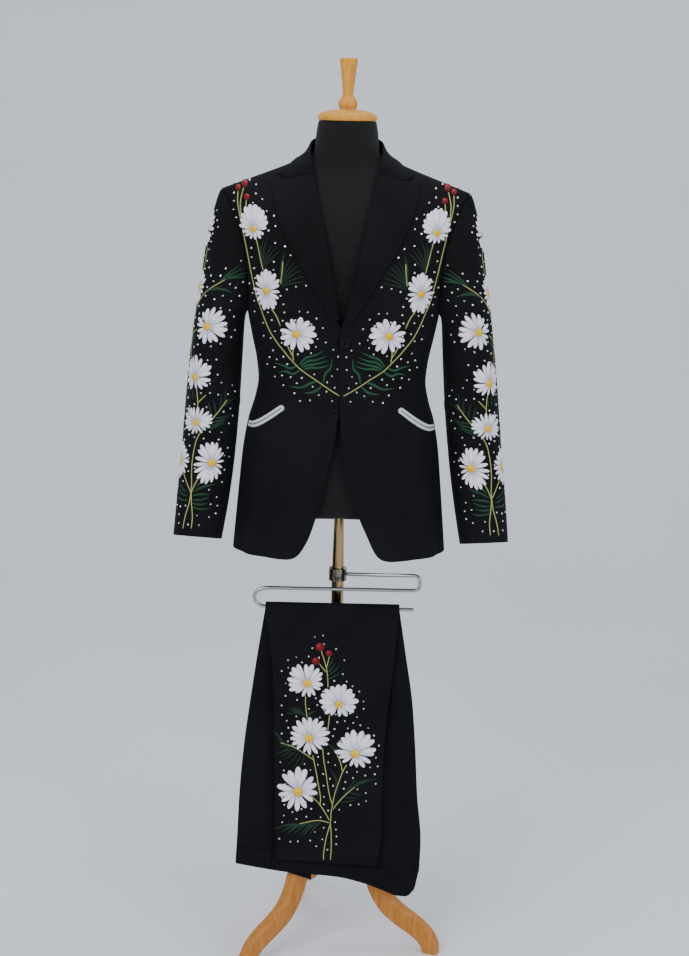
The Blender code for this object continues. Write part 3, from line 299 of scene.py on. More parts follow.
# Torso form: heights, and how far it stays inside the jacket.
FORM_ROWS = (0.894, 0.898, 0.930, 0.980, 1.030, 1.080, 1.135, 1.190, 1.245, 1.300, 1.345, 1.385, 1.415,
             1.438, 1.456, 1.472, 1.486, 1.499, 1.511, 1.523, 1.536, 1.550, 1.568, 1.588, 1.602, 1.6066)
FORM_CLEAR_LOW = 0.0130
FORM_CLEAR_HIGH = 0.0043
FORM_CLEAR_FROM = 1.330
FORM_CLEAR_TO = 1.440
FORM_BLEND = 0.006
NECK = table(
    "height radius",
    (1480, 70), (1520, 62.5), (1545, 59.5), (1580, 57.8), (1602, 54.5), (1606.6, 53))

# Turned parts: radius and height of each profile point.
CAP = metres((
    (0, 1606.9), (51.5, 1606.9), (53.8, 1609), (53.8, 1613.5), (51.2, 1618.2), (44, 1622.2), (33, 1625),
    (19, 1627), (0, 1627.5)))
FINIAL = metres((
    (0, 1627.8), (14.5, 1627.8), (17, 1632.5), (17.3, 1638), (16, 1643), (12.2, 1647.5), (9.8, 1652),
    (10.5, 1664), (11.9, 1678), (13.6, 1693), (15.4, 1707), (16.2, 1714), (15, 1717), (0, 1717.5)))
POLE_RADIUS = 0.01175
POLE = ((0.0, 0.2853), (POLE_RADIUS, 0.2853), (POLE_RADIUS, 0.8717), (0.0, 0.8717))
SOCKET = ((0.0, 0.8720), (0.0140, 0.8720), (0.0140, 0.8800), (0.0260, 0.8850), (0.0260, 0.8937),
          (0.0, 0.8937))
CLAMP_RADIUS = 0.0172
CLAMP = ((POLE_RADIUS + GAP, 0.7440), (CLAMP_RADIUS, 0.7440), (CLAMP_RADIUS, 0.7675),
         (POLE_RADIUS + GAP, 0.7675))
HUB_RADIUS = 0.0320
HUB = ((0.0, 0.1960), (0.0240, 0.1960), (HUB_RADIUS, 0.2040), (HUB_RADIUS, 0.2780),
       (0.0240, 0.2850), (0.0, 0.2850))

# Trouser bar: a bent rod in front of the pole.
ROD_RADIUS = 0.0035
ROD_PATH = metres((
    (16.8, -5.5, 756.8), (70, -23, 761), (146, -47, 768.4), (153.5, -49.2, 766), (156, -50, 760),
    (156, -50, 748), (153.5, -50, 742.2), (146, -50, 740), (-134, -50, 739.5), (-146, -50, 737),
    (-155, -50, 730), (-158, -50, 720.5), (-155, -50, 711), (-146, -50, 704.5), (-134, -50, 702),
    (0, -50, 702), (146, -50, 702)))

# Trousers: half the fold hangs on each side of the bar and leans on the legs of the stand.
BAR_Y = -0.050
BAR_Z = 0.702
LEAN = 0.0734
NEAR = table(
    "height left right",
    (200, -107, 86), (244, -108, 92.5), (338, -111, 93.5), (425, -113.5, 94.5), (500, -115.5, 99.5),
    (574, -118, 106.5), (650, -127, 113), (702, -134.5, 117))
REAR = table(
    "height left right",
    (128, -186, 160), (180, -186, 169.5), (240, -183.5, 171), (331, -180, 162), (432, -172, 155),
    (520, -161, 147), (600, -150, 134), (660, -141, 124), (702, -134.5, 117))
NEAR_HEM_LEFT = 0.205
NEAR_HEM_RIGHT = 0.195
WAIST_EDGE = table(
    "x height",
    (-187, 189), (-134, 180), (-84, 173), (9, 166), (63, 154), (102, 140), (129, 130), (146, 129),
    (157, 136), (165, 152), (171, 190))
OUTSEAM = 0.48
WAISTBAND_STEPS = (0.930, 0.955, 0.980, 1.0)
WAISTBAND_CLOTH = 0.0011
BELT_LOOPS = (0.17, 0.49, 0.80)
BELT_LOOP_HALF = 0.014
BELT_LOOP_STEPS = (0.924, 0.960, 0.996)
BELT_LOOP_CLOTH = 0.0010
WELT_STEPS = (0.812, 0.834)
WELT_SPAN = (0.56, 0.86)
POCKET_BAG = table("x drop", (-83, 2), (-68, 5), (-52, 9), (-39, 12.5))

# Legs of the stand: centre line, half width in their own upright plane and half thickness.
LEG = table(
    "out height half thick",
    (53.1, 270, 21, 13), (53.1, 246, 21, 13.4), (62, 220, 21, 13.6), (76, 188, 20.5, 13.7),
    (89, 150, 20, 13.6), (102, 115, 20, 13.4), (122, 86, 20, 13.1), (148, 67, 20, 12.8),
    (173, 53, 19.5, 12.6), (195, 37, 18.5, 12.2), (208, 19, 17.5, 11.8), (211, 6, 16.5, 11.5),
    (211, 0, 15, 11.2))
LEG_TURNS = (221.0, 341.0, 111.0)

# Finer than the solids: spacing of the columns next to an edge, and the radius that rounds it.
EDGE_STEPS = (0.0, 0.0003, 0.0007, 0.0012, 0.0018)
EDGE_RADIUS = 0.0016
# Distance round the body for each degree.
DEGREE = 0.0027

# Soft creases of the body: from one place to another, distance round from centre front and height.
BODY_CREASES = table(
    "across0 up0 across1 up1 wide high",
    (60, 1010, 74, 800, 17, 1.6), (92, 1000, 112, 800, 12, -1.7), (128, 1030, 150, 800, 18, 2.4),
    (168, 980, 180, 800, 12, -2), (40, 960, 50, 860, 11, -1), (200, 1040, 214, 800, 18, 2.2),
    (-56, 990, -78, 800, 16, 1.8), (-95, 1030, -104, 800, 13, -1.9), (-124, 990, -140, 800, 15, 2),
    (-160, 1040, -170, 800, 13, -2.1), (-196, 1010, -206, 800, 17, 2.2), (-40, 930, -46, 850, 10, -0.9),
    (18, 1224, 75, 1252, 6, -1.1), (18, 1217, 100, 1212, 7, -1), (16, 1210, 70, 1176, 6, -0.9),
    (30, 1232, 90, 1270, 8, 0.9), (-12, 1226, -70, 1250, 6, -1), (-14, 1216, -92, 1206, 7, -1.1),
    (-12, 1208, -60, 1172, 6, -0.8), (-30, 1200, -100, 1184, 8, 0.8), (150, 1150, 200, 1136, 7, -1.8),
    (140, 1118, 205, 1122, 8, -1.5), (-145, 1146, -205, 1138, 7, -1.7), (-150, 1112, -200, 1124, 8, -1.4),
    (165, 1210, 188, 1150, 8, 1.2), (-160, 1215, -186, 1156, 8, 1.3), (120, 1330, 160, 1240, 14, -1.4),
    (-122, 1335, -158, 1246, 14, -1.5), (95, 1300, 118, 1230, 12, 0.9), (-92, 1305, -120, 1235, 12, 1),
    (285, 1330, 330, 1220, 16, 2.6), (-285, 1325, -326, 1210, 16, 2.8), (310, 1360, 350, 1260, 11, -2),
    (-312, 1350, -352, 1262, 11, -1.8), (360, 1180, 470, 1168, 9, -2.2), (-350, 1176, -460, 1160, 9, -2),
    (330, 1135, 450, 1130, 11, -2.6), (-340, 1142, -470, 1128, 10, -2.4), (300, 1160, 380, 1150, 10, 1.6),
    (-296, 1154, -390, 1146, 10, 1.7), (330, 1060, 340, 800, 20, 3), (372, 1020, 384, 800, 14, -2.6),
    (420, 1050, 424, 800, 19, 2.6), (-326, 1050, -342, 800, 20, 2.8), (-376, 1030, -380, 800, 15, -2.4),
    (-424, 1040, -430, 800, 18, 2.6), (268, 1040, 280, 800, 15, -2.2), (-262, 1050, -278, 800, 15, -2))
# Creases of a sleeve: round it from the inner line through the front, and height.
SLEEVE_TURN = 0.0575
SLEEVE_CREASES = table(
    "across0 up0 across1 up1 wide high",
    (10, 1060, 80, 1098, 7, -1.8), (5, 1020, 72, 1030, 8, -2), (12, 1040, 70, 1062, 8, 1.5),
    (20, 985, 85, 972, 8, -1.4), (0, 1090, 50, 1130, 9, 1.4), (30, 1160, 90, 1215, 11, -1.4),
    (20, 1190, 66, 1250, 12, 1.6), (115, 1020, 150, 930, 13, 1.1), (150, 1200, 160, 1070, 15, -1.1),
    (190, 1190, 180, 1050, 14, 1.2), (60, 940, 64, 860, 11, -1), (95, 930, 100, 850, 11, 0.9),
    (250, 1240, 300, 1130, 13, -1.8), (290, 1060, 350, 1040, 9, -2.2), (285, 1020, 345, 1008, 10, -1.8),
    (280, 1042, 340, 1024, 8, 1.6), (240, 980, 270, 860, 15, 1.4), (310, 960, 318, 850, 12, -1.2))
# Creases of the trousers, on the near side and on the far side of the bar.
NEAR_CREASES = table(
    "across0 up0 across1 up1 wide high",
    (-60, 700, -46, 560, 15, 1.1), (60, 690, 46, 520, 16, 1), (-100, 620, -60, 590, 12, -0.9),
    (104, 600, 60, 560, 12, -1), (75, 480, 82, 260, 14, 1.2), (-88, 430, -84, 230, 13, -1),
    (20, 330, 30, 200, 15, 0.9), (-20, 690, -10, 600, 13, -0.8))
REAR_CREASES = table(
    "across0 up0 across1 up1 wide high",
    (-80, 680, -110, 420, 20, 2.2), (70, 690, 100, 400, 19, 2), (-20, 640, -30, 380, 17, -1.8),
    (30, 560, 60, 300, 15, -1.6), (-140, 420, -120, 240, 17, -2), (120, 420, 130, 250, 16, 1.8),
    (-60, 360, -70, 220, 15, 1.7), (0, 330, 10, 200, 14, 1.2))

# Embroidery on the chest, one half; the other is its mirror image. Outward from the middle, height.
CHEST_DAISIES = table(
    "x z yolk_x yolk_z half_x half_z | petals turn fill",
    (163.5, 1427, 164, 1415, 26.2, 30.5, 17, 8, 0.57), (137, 1309, 138.6, 1307.6, 25, 36.5, 18, 3, 0.55),
    (79, 1234, 82.4, 1233.6, 33.5, 32.5, 13, 12, 0.47))
CHEST_STEMS = charted(
    ((3.5, 1123.2), (24.5, 1135.7), (50.1, 1153.1), (75.7, 1170.1), (93.5, 1188), (114.4, 1211.3),
     (129.9, 1234), (143.1, 1260), (154.5, 1287), (162.8, 1318.7), (169, 1345), (175, 1372.6),
     (180.5, 1396), (185, 1418), (191.5, 1443.8), (195, 1461.4), (195, 1478.7)),
    ((187, 1426), (188, 1440), (189.5, 1461.8), (185, 1485)),
    ((180, 1448), (179, 1458), (178.5, 1466)),
    ((160, 1404), (156, 1390), (151.9, 1374.1), (145, 1343.6)),
    ((128, 1276), (120, 1266), (111.9, 1246.7)),
    ((88.1, 1211.8), (89, 1198), (87, 1184)),
    ((101.6, 1214.5), (96, 1205), (89, 1193)),
    ((108.8, 1363.3), (110, 1344), (112.5, 1322.4)))
CHEST_BERRIES = table("x z radius", (183.8, 1492.5, 6.6), (195.5, 1485, 5.6), (178.2, 1470, 6))
# Fans of needle leaves: first and last foot, first and last direction in degrees, length, how pale.
CHEST_LEAVES = table(
    "x0 z0 x1 z1 length | turn0 turn1 bend count pale",
    (150, 1356, 145, 1344, 52, 84, 132, 12, 6, 0.1), (151, 1372, 148, 1356, 34, 70, 100, -10, 3, 0.1),
    (112.5, 1330, 111.5, 1317, 50, 92, 162, 14, 8, 0.12))
# Single leaves: four points along each.
CHEST_SPRIGS = charted(
    ((78, 1176), (66, 1190.5), (50, 1196.5), (33, 1205)),
    ((75.5, 1174), (62, 1185), (47, 1188), (28, 1195)),
    ((73.5, 1172), (60, 1178), (44, 1181.5), (23.5, 1187)),
    ((70, 1169.5), (56, 1173.5), (40, 1174), (22.5, 1179)),
    ((79, 1176.5), (93, 1170), (108, 1174.5), (124, 1177)),
    ((73, 1170), (88, 1160), (101, 1163.5), (116, 1160)),
    ((42, 1150), (56, 1145), (74, 1136), (96, 1137)),
    ((34.5, 1142), (45, 1132), (55, 1128), (68, 1126.5)),
    ((34, 1145), (30, 1163), (20.5, 1174), (18.4, 1193)))
SLEEVE_DAISIES = table(
    "x z yolk_x yolk_z half_x half_z | petals turn fill",
    (-4, 1408, -4, 1406, 25, 34, 16, 2, 0.5), (20, 1304, 27, 1303, 29, 33, 16, 7, 0.48),
    (85, 1239, 79, 1237.5, 32, 33, 15, 12, 0.44), (58, 1150, 60, 1143, 37, 32, 17, 4, 0.47),
    (66, 1064, 68, 1060, 34, 25.5, 20, 9, 0.46), (31, 986, 35, 985, 29, 33, 17, 1, 0.5),
    (98.5, 987, 104, 985.8, 29, 40, 18, 5, 0.46))
SLEEVE_STEMS = charted(
    ((56.1, 861.9), (60, 886), (67, 914), (69, 940), (67, 965), (66.5, 986.2), (69, 1012), (73.6, 1033),
     (84, 1050), (98, 1067.7), (113, 1086), (124.9, 1102.5)),
    ((73.5, 864), (74.5, 886), (71, 911), (69, 932)),
    ((69, 930), (60, 944), (48, 964)),
    ((69, 928), (76, 948), (86, 964)),
    ((69.6, 1088), (69, 1104), (65.4, 1123)),
    ((70, 1096), (77, 1104), (84.9, 1111.9)),
    ((38, 1168), (31, 1190), (24, 1218), (26, 1250), (42, 1280), (64, 1303), (90.4, 1323.1)),
    ((26, 1216), (36, 1222), (52, 1230)),
    ((12, 1336), (6, 1354), (1, 1376)),
    ((24, 1334), (22, 1356), (15, 1376)))
SLEEVE_LEAVES = table(
    "x0 z0 x1 z1 length | turn0 turn1 bend count pale",
    (80, 1316, 90, 1323, 46, 50, 4, -16, 4, 0.55), (56, 1296, 70, 1306, 42, 22, -8, -14, 3, 0.5),
    (30, 1204, 36, 1210, 26, 34, 70, 20, 3, 0.4), (82, 1048, 100, 1070, 50, 18, 4, 18, 4, 0.45),
    (90, 1060, 118, 1094, 36, 118, 80, 12, 5, 0.25), (114, 1087, 124, 1101, 30, 40, 10, 10, 3, 0.25),
    (50, 1100, 64, 1100, 22, 120, 84, 10, 3, 0.25), (76, 940, 71, 924, 47, 34, 6, -22, 3, 0.6),
    (72, 918, 70, 906, 40, 8, -10, 26, 3, 0.55), (60, 930, 64, 916, 34, 150, 176, -20, 3, 0.5))
BOUQUET_DAISIES = table(
    "x z yolk_x yolk_z half_x half_z | petals turn fill",
    (-57.5, 563.5, -53.6, 557.8, 35.5, 33, 17, 6, 0.54), (6.7, 524.5, 7.2, 517.5, 37, 32.5, 16, 2, 0.58),
    (-46, 454, -48.3, 449, 38.8, 36.5, 18, 10, 0.5), (41.4, 429, 40.6, 419.8, 39, 37.5, 16, 5, 0.49),
    (-68.5, 346.5, -67.9, 341.9, 39.5, 44, 14, 13, 0.46))
BOUQUET_STEMS = charted(
    ((-15.8, 205.7), (-15.2, 224), (-11, 252), (-3.9, 280), (-3, 300), (0, 320), (4, 342), (11, 364),
     (17.4, 382.8), (25, 398)),
    ((-2.4, 206), (-1.2, 230), (-1.8, 258), (-3.9, 280)),
    ((17.4, 382.8), (13, 402), (6, 418), (0.1, 428.2)),
    ((-1, 318), (-8, 342), (-14, 378), (-19, 406), (-21.7, 430)),
    ((-6, 286), (-15, 302), (-27, 319.7), (-44, 336)),
    ((-24.6, 316), (-24, 332), (-29, 360), (-34.1, 386), (-40.5, 416)),
    ((-38, 406), (-56, 418), (-78, 431), (-102.8, 438.8)),
    ((0, 308), (13.7, 327), (28, 342), (43.1, 355.4)),
    ((-6, 281), (-22, 285), (-38.1, 284.1), (-64.4, 277.4)),
    ((-56.5, 534), (-56, 513), (-52.3, 488)),
    ((-9.9, 496), (-11, 482), (-12.8, 465)),
    ((-14, 550), (-15, 570), (-17.7, 587.6), (-23, 606), (-28.7, 622.5)),
    ((-17.7, 587.6), (-15, 599), (-12.3, 611.2)),
    ((-18, 580), (-23.4, 586), (-31, 596)))
BOUQUET_BERRIES = table("x z radius", (-30.8, 629, 8.8), (-13.4, 616.5, 6.6), (-37.8, 601.5, 8))
BOUQUET_LEAVES = table(
    "x0 z0 x1 z1 length | turn0 turn1 bend count pale",
    (-15, 566, -16, 586, 30, 28, 62, 16, 4, 0.35), (-56, 496, -55, 486, 40, 176, 120, 14, 6, 0.25),
    (-54, 496, -53, 486, 22, 20, 60, -10, 3, 0.25), (-70, 426, -100, 438, 34, 190, 116, 14, 6, 0.25),
    (-56, 416, -86, 430, 36, 250, 208, -14, 6, 0.15), (12, 404, 1, 426, 28, 84, 140, 14, 5, 0.2),
    (-2, 330, 8, 360, 34, 60, 112, 12, 5, 0.2), (20, 334, 43, 355, 48, 52, 24, -14, 5, 0.35),
    (10, 324, 30, 344, 34, 8, -12, 12, 3, 0.2), (-20, 284, -48, 282, 44, 232, 212, 16, 5, 0.4),
    (-56, 280, -64, 277, 48, 214, 190, 14, 3, 0.45), (-26, 330, -30, 360, 24, 120, 150, 10, 4, 0.2))

# Half widths of stems and leaves.
STEM_HALF = 0.0011
LEAF_HALF = 0.0019
# Stones: size, distance from each other, nearest and farthest place from a motif.
STONE_RADIUS = 0.0018
STONE_APART = 0.0138
STONE_NEAR = 0.0056
STONE_FAR = 0.0165
# Piping: half the distance between its two runs, and half the cord's width.
CORD_APART = 0.0029
CORD_HALF = 0.0026
# Bar: step along it, and over how many steps to each side a corner is averaged.
ROD_STEP = 0.0010
BEND_STEPS = 4
# Half the gap between two panels at a seam.
SEAM_GAP = 0.00003
# Place in the noise that sets where the brass's dark upright streaks fall; they are painted reflection, and the place
# puts one down the pole's front.
PAINTED_REFLECTION_AT = (0.013, 0.0, 0.0)
# Bow of the collar's fall between fold and edge, front end to centre back.
FALL_BOW = (0.0, -0.0020, -0.0035, -0.0042, -0.0030, -0.0008, 0.0010, 0.0016, 0.0016)
# What each area of the embroidery holds, the box of its stones and the seed that throws them.
CHEST = {"daisies": CHEST_DAISIES, "stems": CHEST_STEMS, "leaves": CHEST_LEAVES, "sprigs": CHEST_SPRIGS,
         "berries": CHEST_BERRIES, "box": (0.004, 0.205, 1.095, 1.500), "seed": 5}
SLEEVE_CHART = {"daisies": SLEEVE_DAISIES, "stems": SLEEVE_STEMS, "leaves": SLEEVE_LEAVES,
                "box": (-0.050, 0.145, 0.860, 1.450), "seed": 8}
BOUQUET = {"daisies": BOUQUET_DAISIES, "stems": BOUQUET_STEMS, "leaves": BOUQUET_LEAVES,
           "berries": BOUQUET_BERRIES, "box": (-0.106, 0.088, 0.222, 0.660), "seed": 3}

# Section of a strand: half an ellipse and a flat underside sunk into the cloth.
ARC = np.radians((0, 30, 60, 90, 120, 150, 180))
ACROSS = np.concatenate([np.cos(ARC), (-0.5, 0.5)])
RISE = np.concatenate([np.sin(ARC), (0.0, 0.0)])
SINK = 0.0003
# Knots and berries: rings from the middle to the rim, and places round them.
DOME_SHARE = np.linspace(0.02, 1.0, 9)[None, :, None]
DOME_TURN = np.linspace(0.0, 2 * math.pi, 24, endpoint=False)[None, None, :]
YOLK_SHARE = 0.130
YOLK_HIGH = 0.0028
YOLK_ROUGH = 0.00030
PETAL_BROADEST = 0.66
PETAL_LEVELS = (0.0010, 0.0004)
SPRIG_PALE = 0.9
# Charts: how near they come to the armhole seam, and the sleeve's grid of heights and ways round.
CHART_OFF_SEAM = 0.012
CHART_HEIGHTS = (0.846, 1.470, 0.003)
CHART_REACH = (-0.120, 0.1601, 0.002)
# Heights between which stones stay beside the lapel.
LAPEL_BESIDE = (1.262, 1.500)

# Jacket: rows, seams and ends that are finer than the solids'.
LOWEST_ROW = 0.80
RIDGE_STEPS = (0.4, 0.8, 1.2, 1.7, 2.5)
OVERLAP_FOOT = (1.060, 1.100)
ARMHOLE_LOW_FRONT = (90.0, 82.5, SIDE_SEAM_FRONT)
ARMHOLE_LOW_BACK = (SIDE_SEAM_BACK, 98.0, 90.0)
SEAM_SHARES = (0.0, 0.004, 0.009, 0.015, 0.024)
CUFF_STEPS = (0.017, 0.010, 0.004, 0.0)
CREASES_FROM = (0.10, 0.50)
SWING_BETWEEN = (0.84, 1.24)
NOTCH_AT = 0.67
COLLAR_END_LIFT = ((0.0, 0.33, 0.67, 1.0), (0.0044, 0.0043, 0.0041, 0.0040))
MOUTH_THICK = 0.0004

# Button: its dish below the rim's top, its underside above the cloth, and its four holes.
BUTTON_TOP = 0.0040
BUTTON_RIM = 0.0084
BUTTON_ROUND = 0.0014
BUTTON_ROUND_TO = 0.00142
BUTTON_DISH = table("radius below", (0, 1.1), (5.8, 1.2), (7, 0.1), (8.4, 0))
BUTTON_UNDER = table("radius height", (9.4, 1.6), (7, 1.2), (3, 1.1), (3, 0.3))
BUTTON_HOLE_AT = 0.0017
BUTTON_HOLE = 0.00095
BUTTON_HOLE_DEEP = 0.0016

# Form and stand: widest search, foot of the form, end of the rod and squareness of the legs.
FORM_WIDEST = 0.30
FORM_FOOT = 0.006
FORM_FOOT_IN = 0.03
ROD_END = 0.0012
LEG_ROUNDNESS = 0.42

# Trousers: middle of each leg and outer face measured from the bar's middle, walls and hip.
RIGHT_LEG_AT = 0.0084
LEFT_LEG_AT = 0.0052
TROUSERS_OUTSIDE = ROD_RADIUS + 3 * GAP + 2 * TROUSER_CLOTH + CORE_CLOTH
LEG_HALF = 0.0014
LEG_WALL = 0.0011
OUTSEAM_SINK = 0.0005
OUTSEAM_WIDE = 0.005
RIPPLE_FROM = 0.05
REAR_LENGTH = 0.52
HIP_WIDTH = 0.33
HIP_DEPTH = 0.53
POCKET_BAG_CLOTH = 0.0010


def mirror(side):
    """Factors that carry a point of the left half to one side."""
    return np.array([side, 1.0, 1.0])


def smooth(xs, ys, x):
    """Monotone cubic through the table points, held level past its ends."""
    x = np.clip(np.asarray(x, dtype=float), xs[0], xs[-1])
    slope = np.diff(ys) / np.diff(xs)
    bend = np.zeros(len(xs))
    product = slope[:-1] * slope[1:]
    same = product > 0
    bend[1:-1][same] = 2.0 * product[same] / (slope[:-1][same] + slope[1:][same])
    bend[0], bend[-1] = slope[0], slope[-1]
    k = np.clip(np.searchsorted(xs, x) - 1, 0, len(xs) - 2)
    step = xs[k + 1] - xs[k]
    t = (x - xs[k]) / step
    return ((1 + 2 * t) * (1 - t) ** 2 * ys[k] + t * (1 - t) ** 2 * step * bend[k]
            + t * t * (3 - 2 * t) * ys[k + 1] + t * t * (t - 1) * step * bend[k + 1])


def read(rows, name, at):
    """Column of a table as a smooth curve over the table's first column."""
    return smooth(next(iter(rows.values())), rows[name], at)


def stepped(column, at):
    """Column as a smooth curve over its row numbers."""
    return smooth(np.arange(len(column), dtype=float), column, at)


def ramp(low, high, x):
    """Smooth step from 0 at low to 1 at high."""
    t = np.clip((np.asarray(x, dtype=float) - low) / (high - low), 0.0, 1.0)
    return t * t * (3 - 2 * t)


def unit(v):
    """Vectors of length one."""
    return v / np.maximum(np.linalg.norm(v, axis=-1, keepdims=True), 1e-12)


def square_to(normal, way):
    """Unit vector of the part of way that is square to normal."""
    return unit(way - normal * np.sum(way * normal, axis=-1, keepdims=True))


def signed_power(x, power):
    """Power of the size, with the sign kept."""
    return np.sign(x) * np.abs(x) ** power


def around(count):
    """Angles of a full turn."""
    return np.linspace(0.0, 2 * math.pi, count, endpoint=False)


def halved(low, high, below, passes=45):
    """Middle of a range after halving it toward the place where below turns false."""
    for _ in range(passes):
        middle = 0.5 * (low + high)
        up = below(middle)
        low, high = np.where(up, middle, low), np.where(up, high, middle)
    return 0.5 * (low + high)


def spline(points, at):
    """Catmull-Rom curve through rows of points, at row numbers that need not be whole."""
    points = np.asarray(points, dtype=float)
    last = len(points) - 1
    at = np.clip(np.asarray(at, dtype=float), 0.0, last)
    k = np.minimum(at.astype(int), last - 1)
    t = (at - k).reshape((-1,) + (1,) * (points.ndim - 1))
    p0, p1, p2, p3 = (points[np.clip(k + step, 0, last)] for step in (-1, 0, 1, 2))
    p0 = np.where((k == 0).reshape(t.shape), 2 * p1 - p2, p0)
    p3 = np.where((k == last - 1).reshape(t.shape), 2 * p2 - p1, p3)
    return 0.5 * (2 * p1 + (p2 - p0) * t + (2 * p0 - 5 * p1 + 4 * p2 - p3) * t ** 2
                  + (3 * p1 - p0 - 3 * p2 + p3) * t ** 3)


def edge_shares(length, count):
    """Shares from 0 to 1 along a piece of the given length: crowded at both ends, even between."""
    near = np.array(EDGE_STEPS) / length
    return np.concatenate([near[:-1], np.linspace(near[-1], 1.0 - near[-1], count), 1.0 - near[:-1][::-1]])


def end_shares(start, length, count):
    """Shares from a start to 1: even, then crowded at the end."""
    near = np.array(EDGE_STEPS) / length
    return np.concatenate([np.linspace(start, 1.0 - near[-1], count), 1.0 - near[:-1][::-1]])


def crease_height(creases, across, up):
    """Sum of the creases: each is a bell curve of the distance from its own straight line."""
    across, up = np.broadcast_arrays(np.asarray(across, dtype=float), np.asarray(up, dtype=float))
    total = np.zeros(across.shape)
    for a0, u0, a1, u1, wide, high in zip(*creases.values()):
        da, du = a1 - a0, u1 - u0
        t = np.clip(((across - a0) * da + (up - u0) * du) / (da * da + du * du), 0.0, 1.0)
        away = ((across - a0 - t * da) ** 2 + (up - u0 - t * du) ** 2) / wide ** 2
        total += high * np.exp(-away)
    return total


def walked(grid, axis):
    """Distance along one direction of a grid of points, from its first row or column."""
    step = np.linalg.norm(np.diff(grid, axis=axis), axis=-1)
    start = np.zeros_like(np.take(step, [0], axis=axis))
    return np.concatenate([start, np.cumsum(step, axis=axis)], axis=axis)


# Meshes


def grid_faces(rows, columns, round_rows=False, round_columns=False):
    """Four corner numbers of each face of a grid, which may close on itself either way."""
    number = np.arange(rows * columns).reshape(rows, columns)
    if round_rows:
        number = np.concatenate([number, number[:1]], axis=0)
    if round_columns:
        number = np.concatenate([number, number[:, :1]], axis=1)
    corners = (number[:-1, :-1], number[:-1, 1:], number[1:, 1:], number[1:, :-1])
    return np.stack(corners, axis=-1).reshape(-1, 4)


def tube_faces(rows, columns):
    """Faces of a tube of rings, with a flat face at each end."""
    number = np.arange(rows * columns).reshape(rows, columns)
    return [grid_faces(rows, columns, round_columns=True), number[:1, ::-1], number[-1:]]


def copied_faces(count, block, groups):
    """The same faces on each of many blocks of points."""
    base = (np.arange(count) * block)[:, None, None]
    return [(group[None] + base).reshape(-1, group.shape[1]) for group in groups]


def volume_of(points, faces):
    """Six times the volume inside, from fans of triangles."""
    total = 0.0
    for group in faces:
        for k in range(1, group.shape[1] - 1):
            a, b, c = points[group[:, 0]], points[group[:, k]], points[group[:, k + 1]]
            total += float(np.sum(a * np.cross(b, c)))
    return total


def outward(points, faces):
    """Faces, turned round where they look inward."""
    inward = volume_of(points - points.mean(axis=0), faces) < 0
    return [group[:, ::-1] for group in faces] if inward else faces


def add_piece(name, points, faces, finish, uv=None, thread=None, flat=False, sharp=None):
    """Mesh from arrays of points and of face corners, outward faces, UV in metres, thread colours."""
    points = np.asarray(points, dtype=float).reshape(-1, 3) - np.array(MIDDLE)
    faces = outward(points, faces)
    corners = np.concatenate([group.ravel() for group in faces]).astype(np.int32)
    sizes = np.concatenate([np.full(len(group), group.shape[1]) for group in faces]).astype(np.int32)
    mesh = bpy.data.meshes.new(name)
    mesh.vertices.add(len(points))
    mesh.vertices.foreach_set("co", points.astype(np.float32).ravel())
    mesh.loops.add(len(corners))
    mesh.loops.foreach_set("vertex_index", corners)
    mesh.polygons.add(len(sizes))
    mesh.polygons.foreach_set("loop_start", np.concatenate([[0], np.cumsum(sizes)[:-1]]).astype(np.int32))
    mesh.polygons.foreach_set("loop_total", sizes)
    mesh.update(calc_edges=True)
    mesh.validate()
    mesh.polygons.foreach_set("use_smooth", np.full(len(mesh.polygons), not flat))
    if sharp is not None:
        mesh.set_sharp_from_angle(angle=math.radians(sharp))
    if uv is not None:
        places = np.asarray(uv, dtype=float).reshape(-1, 2)[corners]
        mesh.uv_layers.new(name="cloth").data.foreach_set("uv", places.astype(np.float32).ravel())
    if thread is not None:
        colours = np.concatenate([thread, np.ones((len(thread), 1))], axis=1)
        layer = mesh.color_attributes.new(name="thread", type="FLOAT_COLOR", domain="POINT")
        layer.data.foreach_set("color", colours.astype(np.float32).ravel())
    mesh.materials.append(finish)
    made = bpy.data.objects.new(name, mesh)
    bpy.context.scene.collection.objects.link(made)
    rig.ride(made, "root")
    return made


def tube_piece(name, rings, finish, sharp=60):
    """Solid from a grid of rings."""
    return add_piece(name, rings, tube_faces(*rings.shape[:2]), finish, sharp=sharp)


def cloth_shell(name, outer, inner, finish, radius=EDGE_RADIUS, share=0.46, tube=False):
    """Wall between two grids; near its edges both faces sink toward the middle in a quarter round.

    A tube's columns close on themselves, so that it has edges at its two ends only."""
    down, over = walked(outer, 0), walked(outer, 1)
    near = np.minimum(down, down[-1:] - down)
    if not tube:
        near = np.minimum(near, np.minimum(over, over[:, -1:] - over))
    part = np.clip(1.0 - near / radius, 0.0, 1.0)[..., None]
    sink = share * (outer - inner) * (1.0 - np.sqrt(1.0 - part ** 2))
    outer, inner = outer - sink, inner + sink
    over = walked(outer, 1) if tube else over
    rows, columns = outer.shape[:2]
    count = rows * columns
    number = np.arange(count).reshape(rows, columns)
    if tube:
        rings = ((number[0], 1), (number[-1], -1))
    else:
        edge = (number[0, :], number[1:, -1], number[-1, -2::-1], number[-2:0:-1, 0])
        rings = ((np.concatenate(edge), 1),)
    rims = [np.stack([np.roll(ring, -1), ring, ring + count, np.roll(ring, -1) + count], axis=1)[:, ::way]
            for ring, way in rings]
    quads = grid_faces(rows, columns, round_columns=tube)
    uv = np.stack([over, down], axis=-1).reshape(-1, 2)
    points = np.concatenate([outer.reshape(-1, 3), inner.reshape(-1, 3)])
    faces = [np.concatenate([quads, quads[:, ::-1] + count] + rims)]
    return add_piece(name, points, faces, finish, uv=np.concatenate([uv, uv]))


def stands_for(piece, slot, *nodes):
    """States the slot of a piece and the solids that it replaces."""
    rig.slot(piece, slot)
    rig.replaces(piece, *nodes)
    return piece


# Finishes


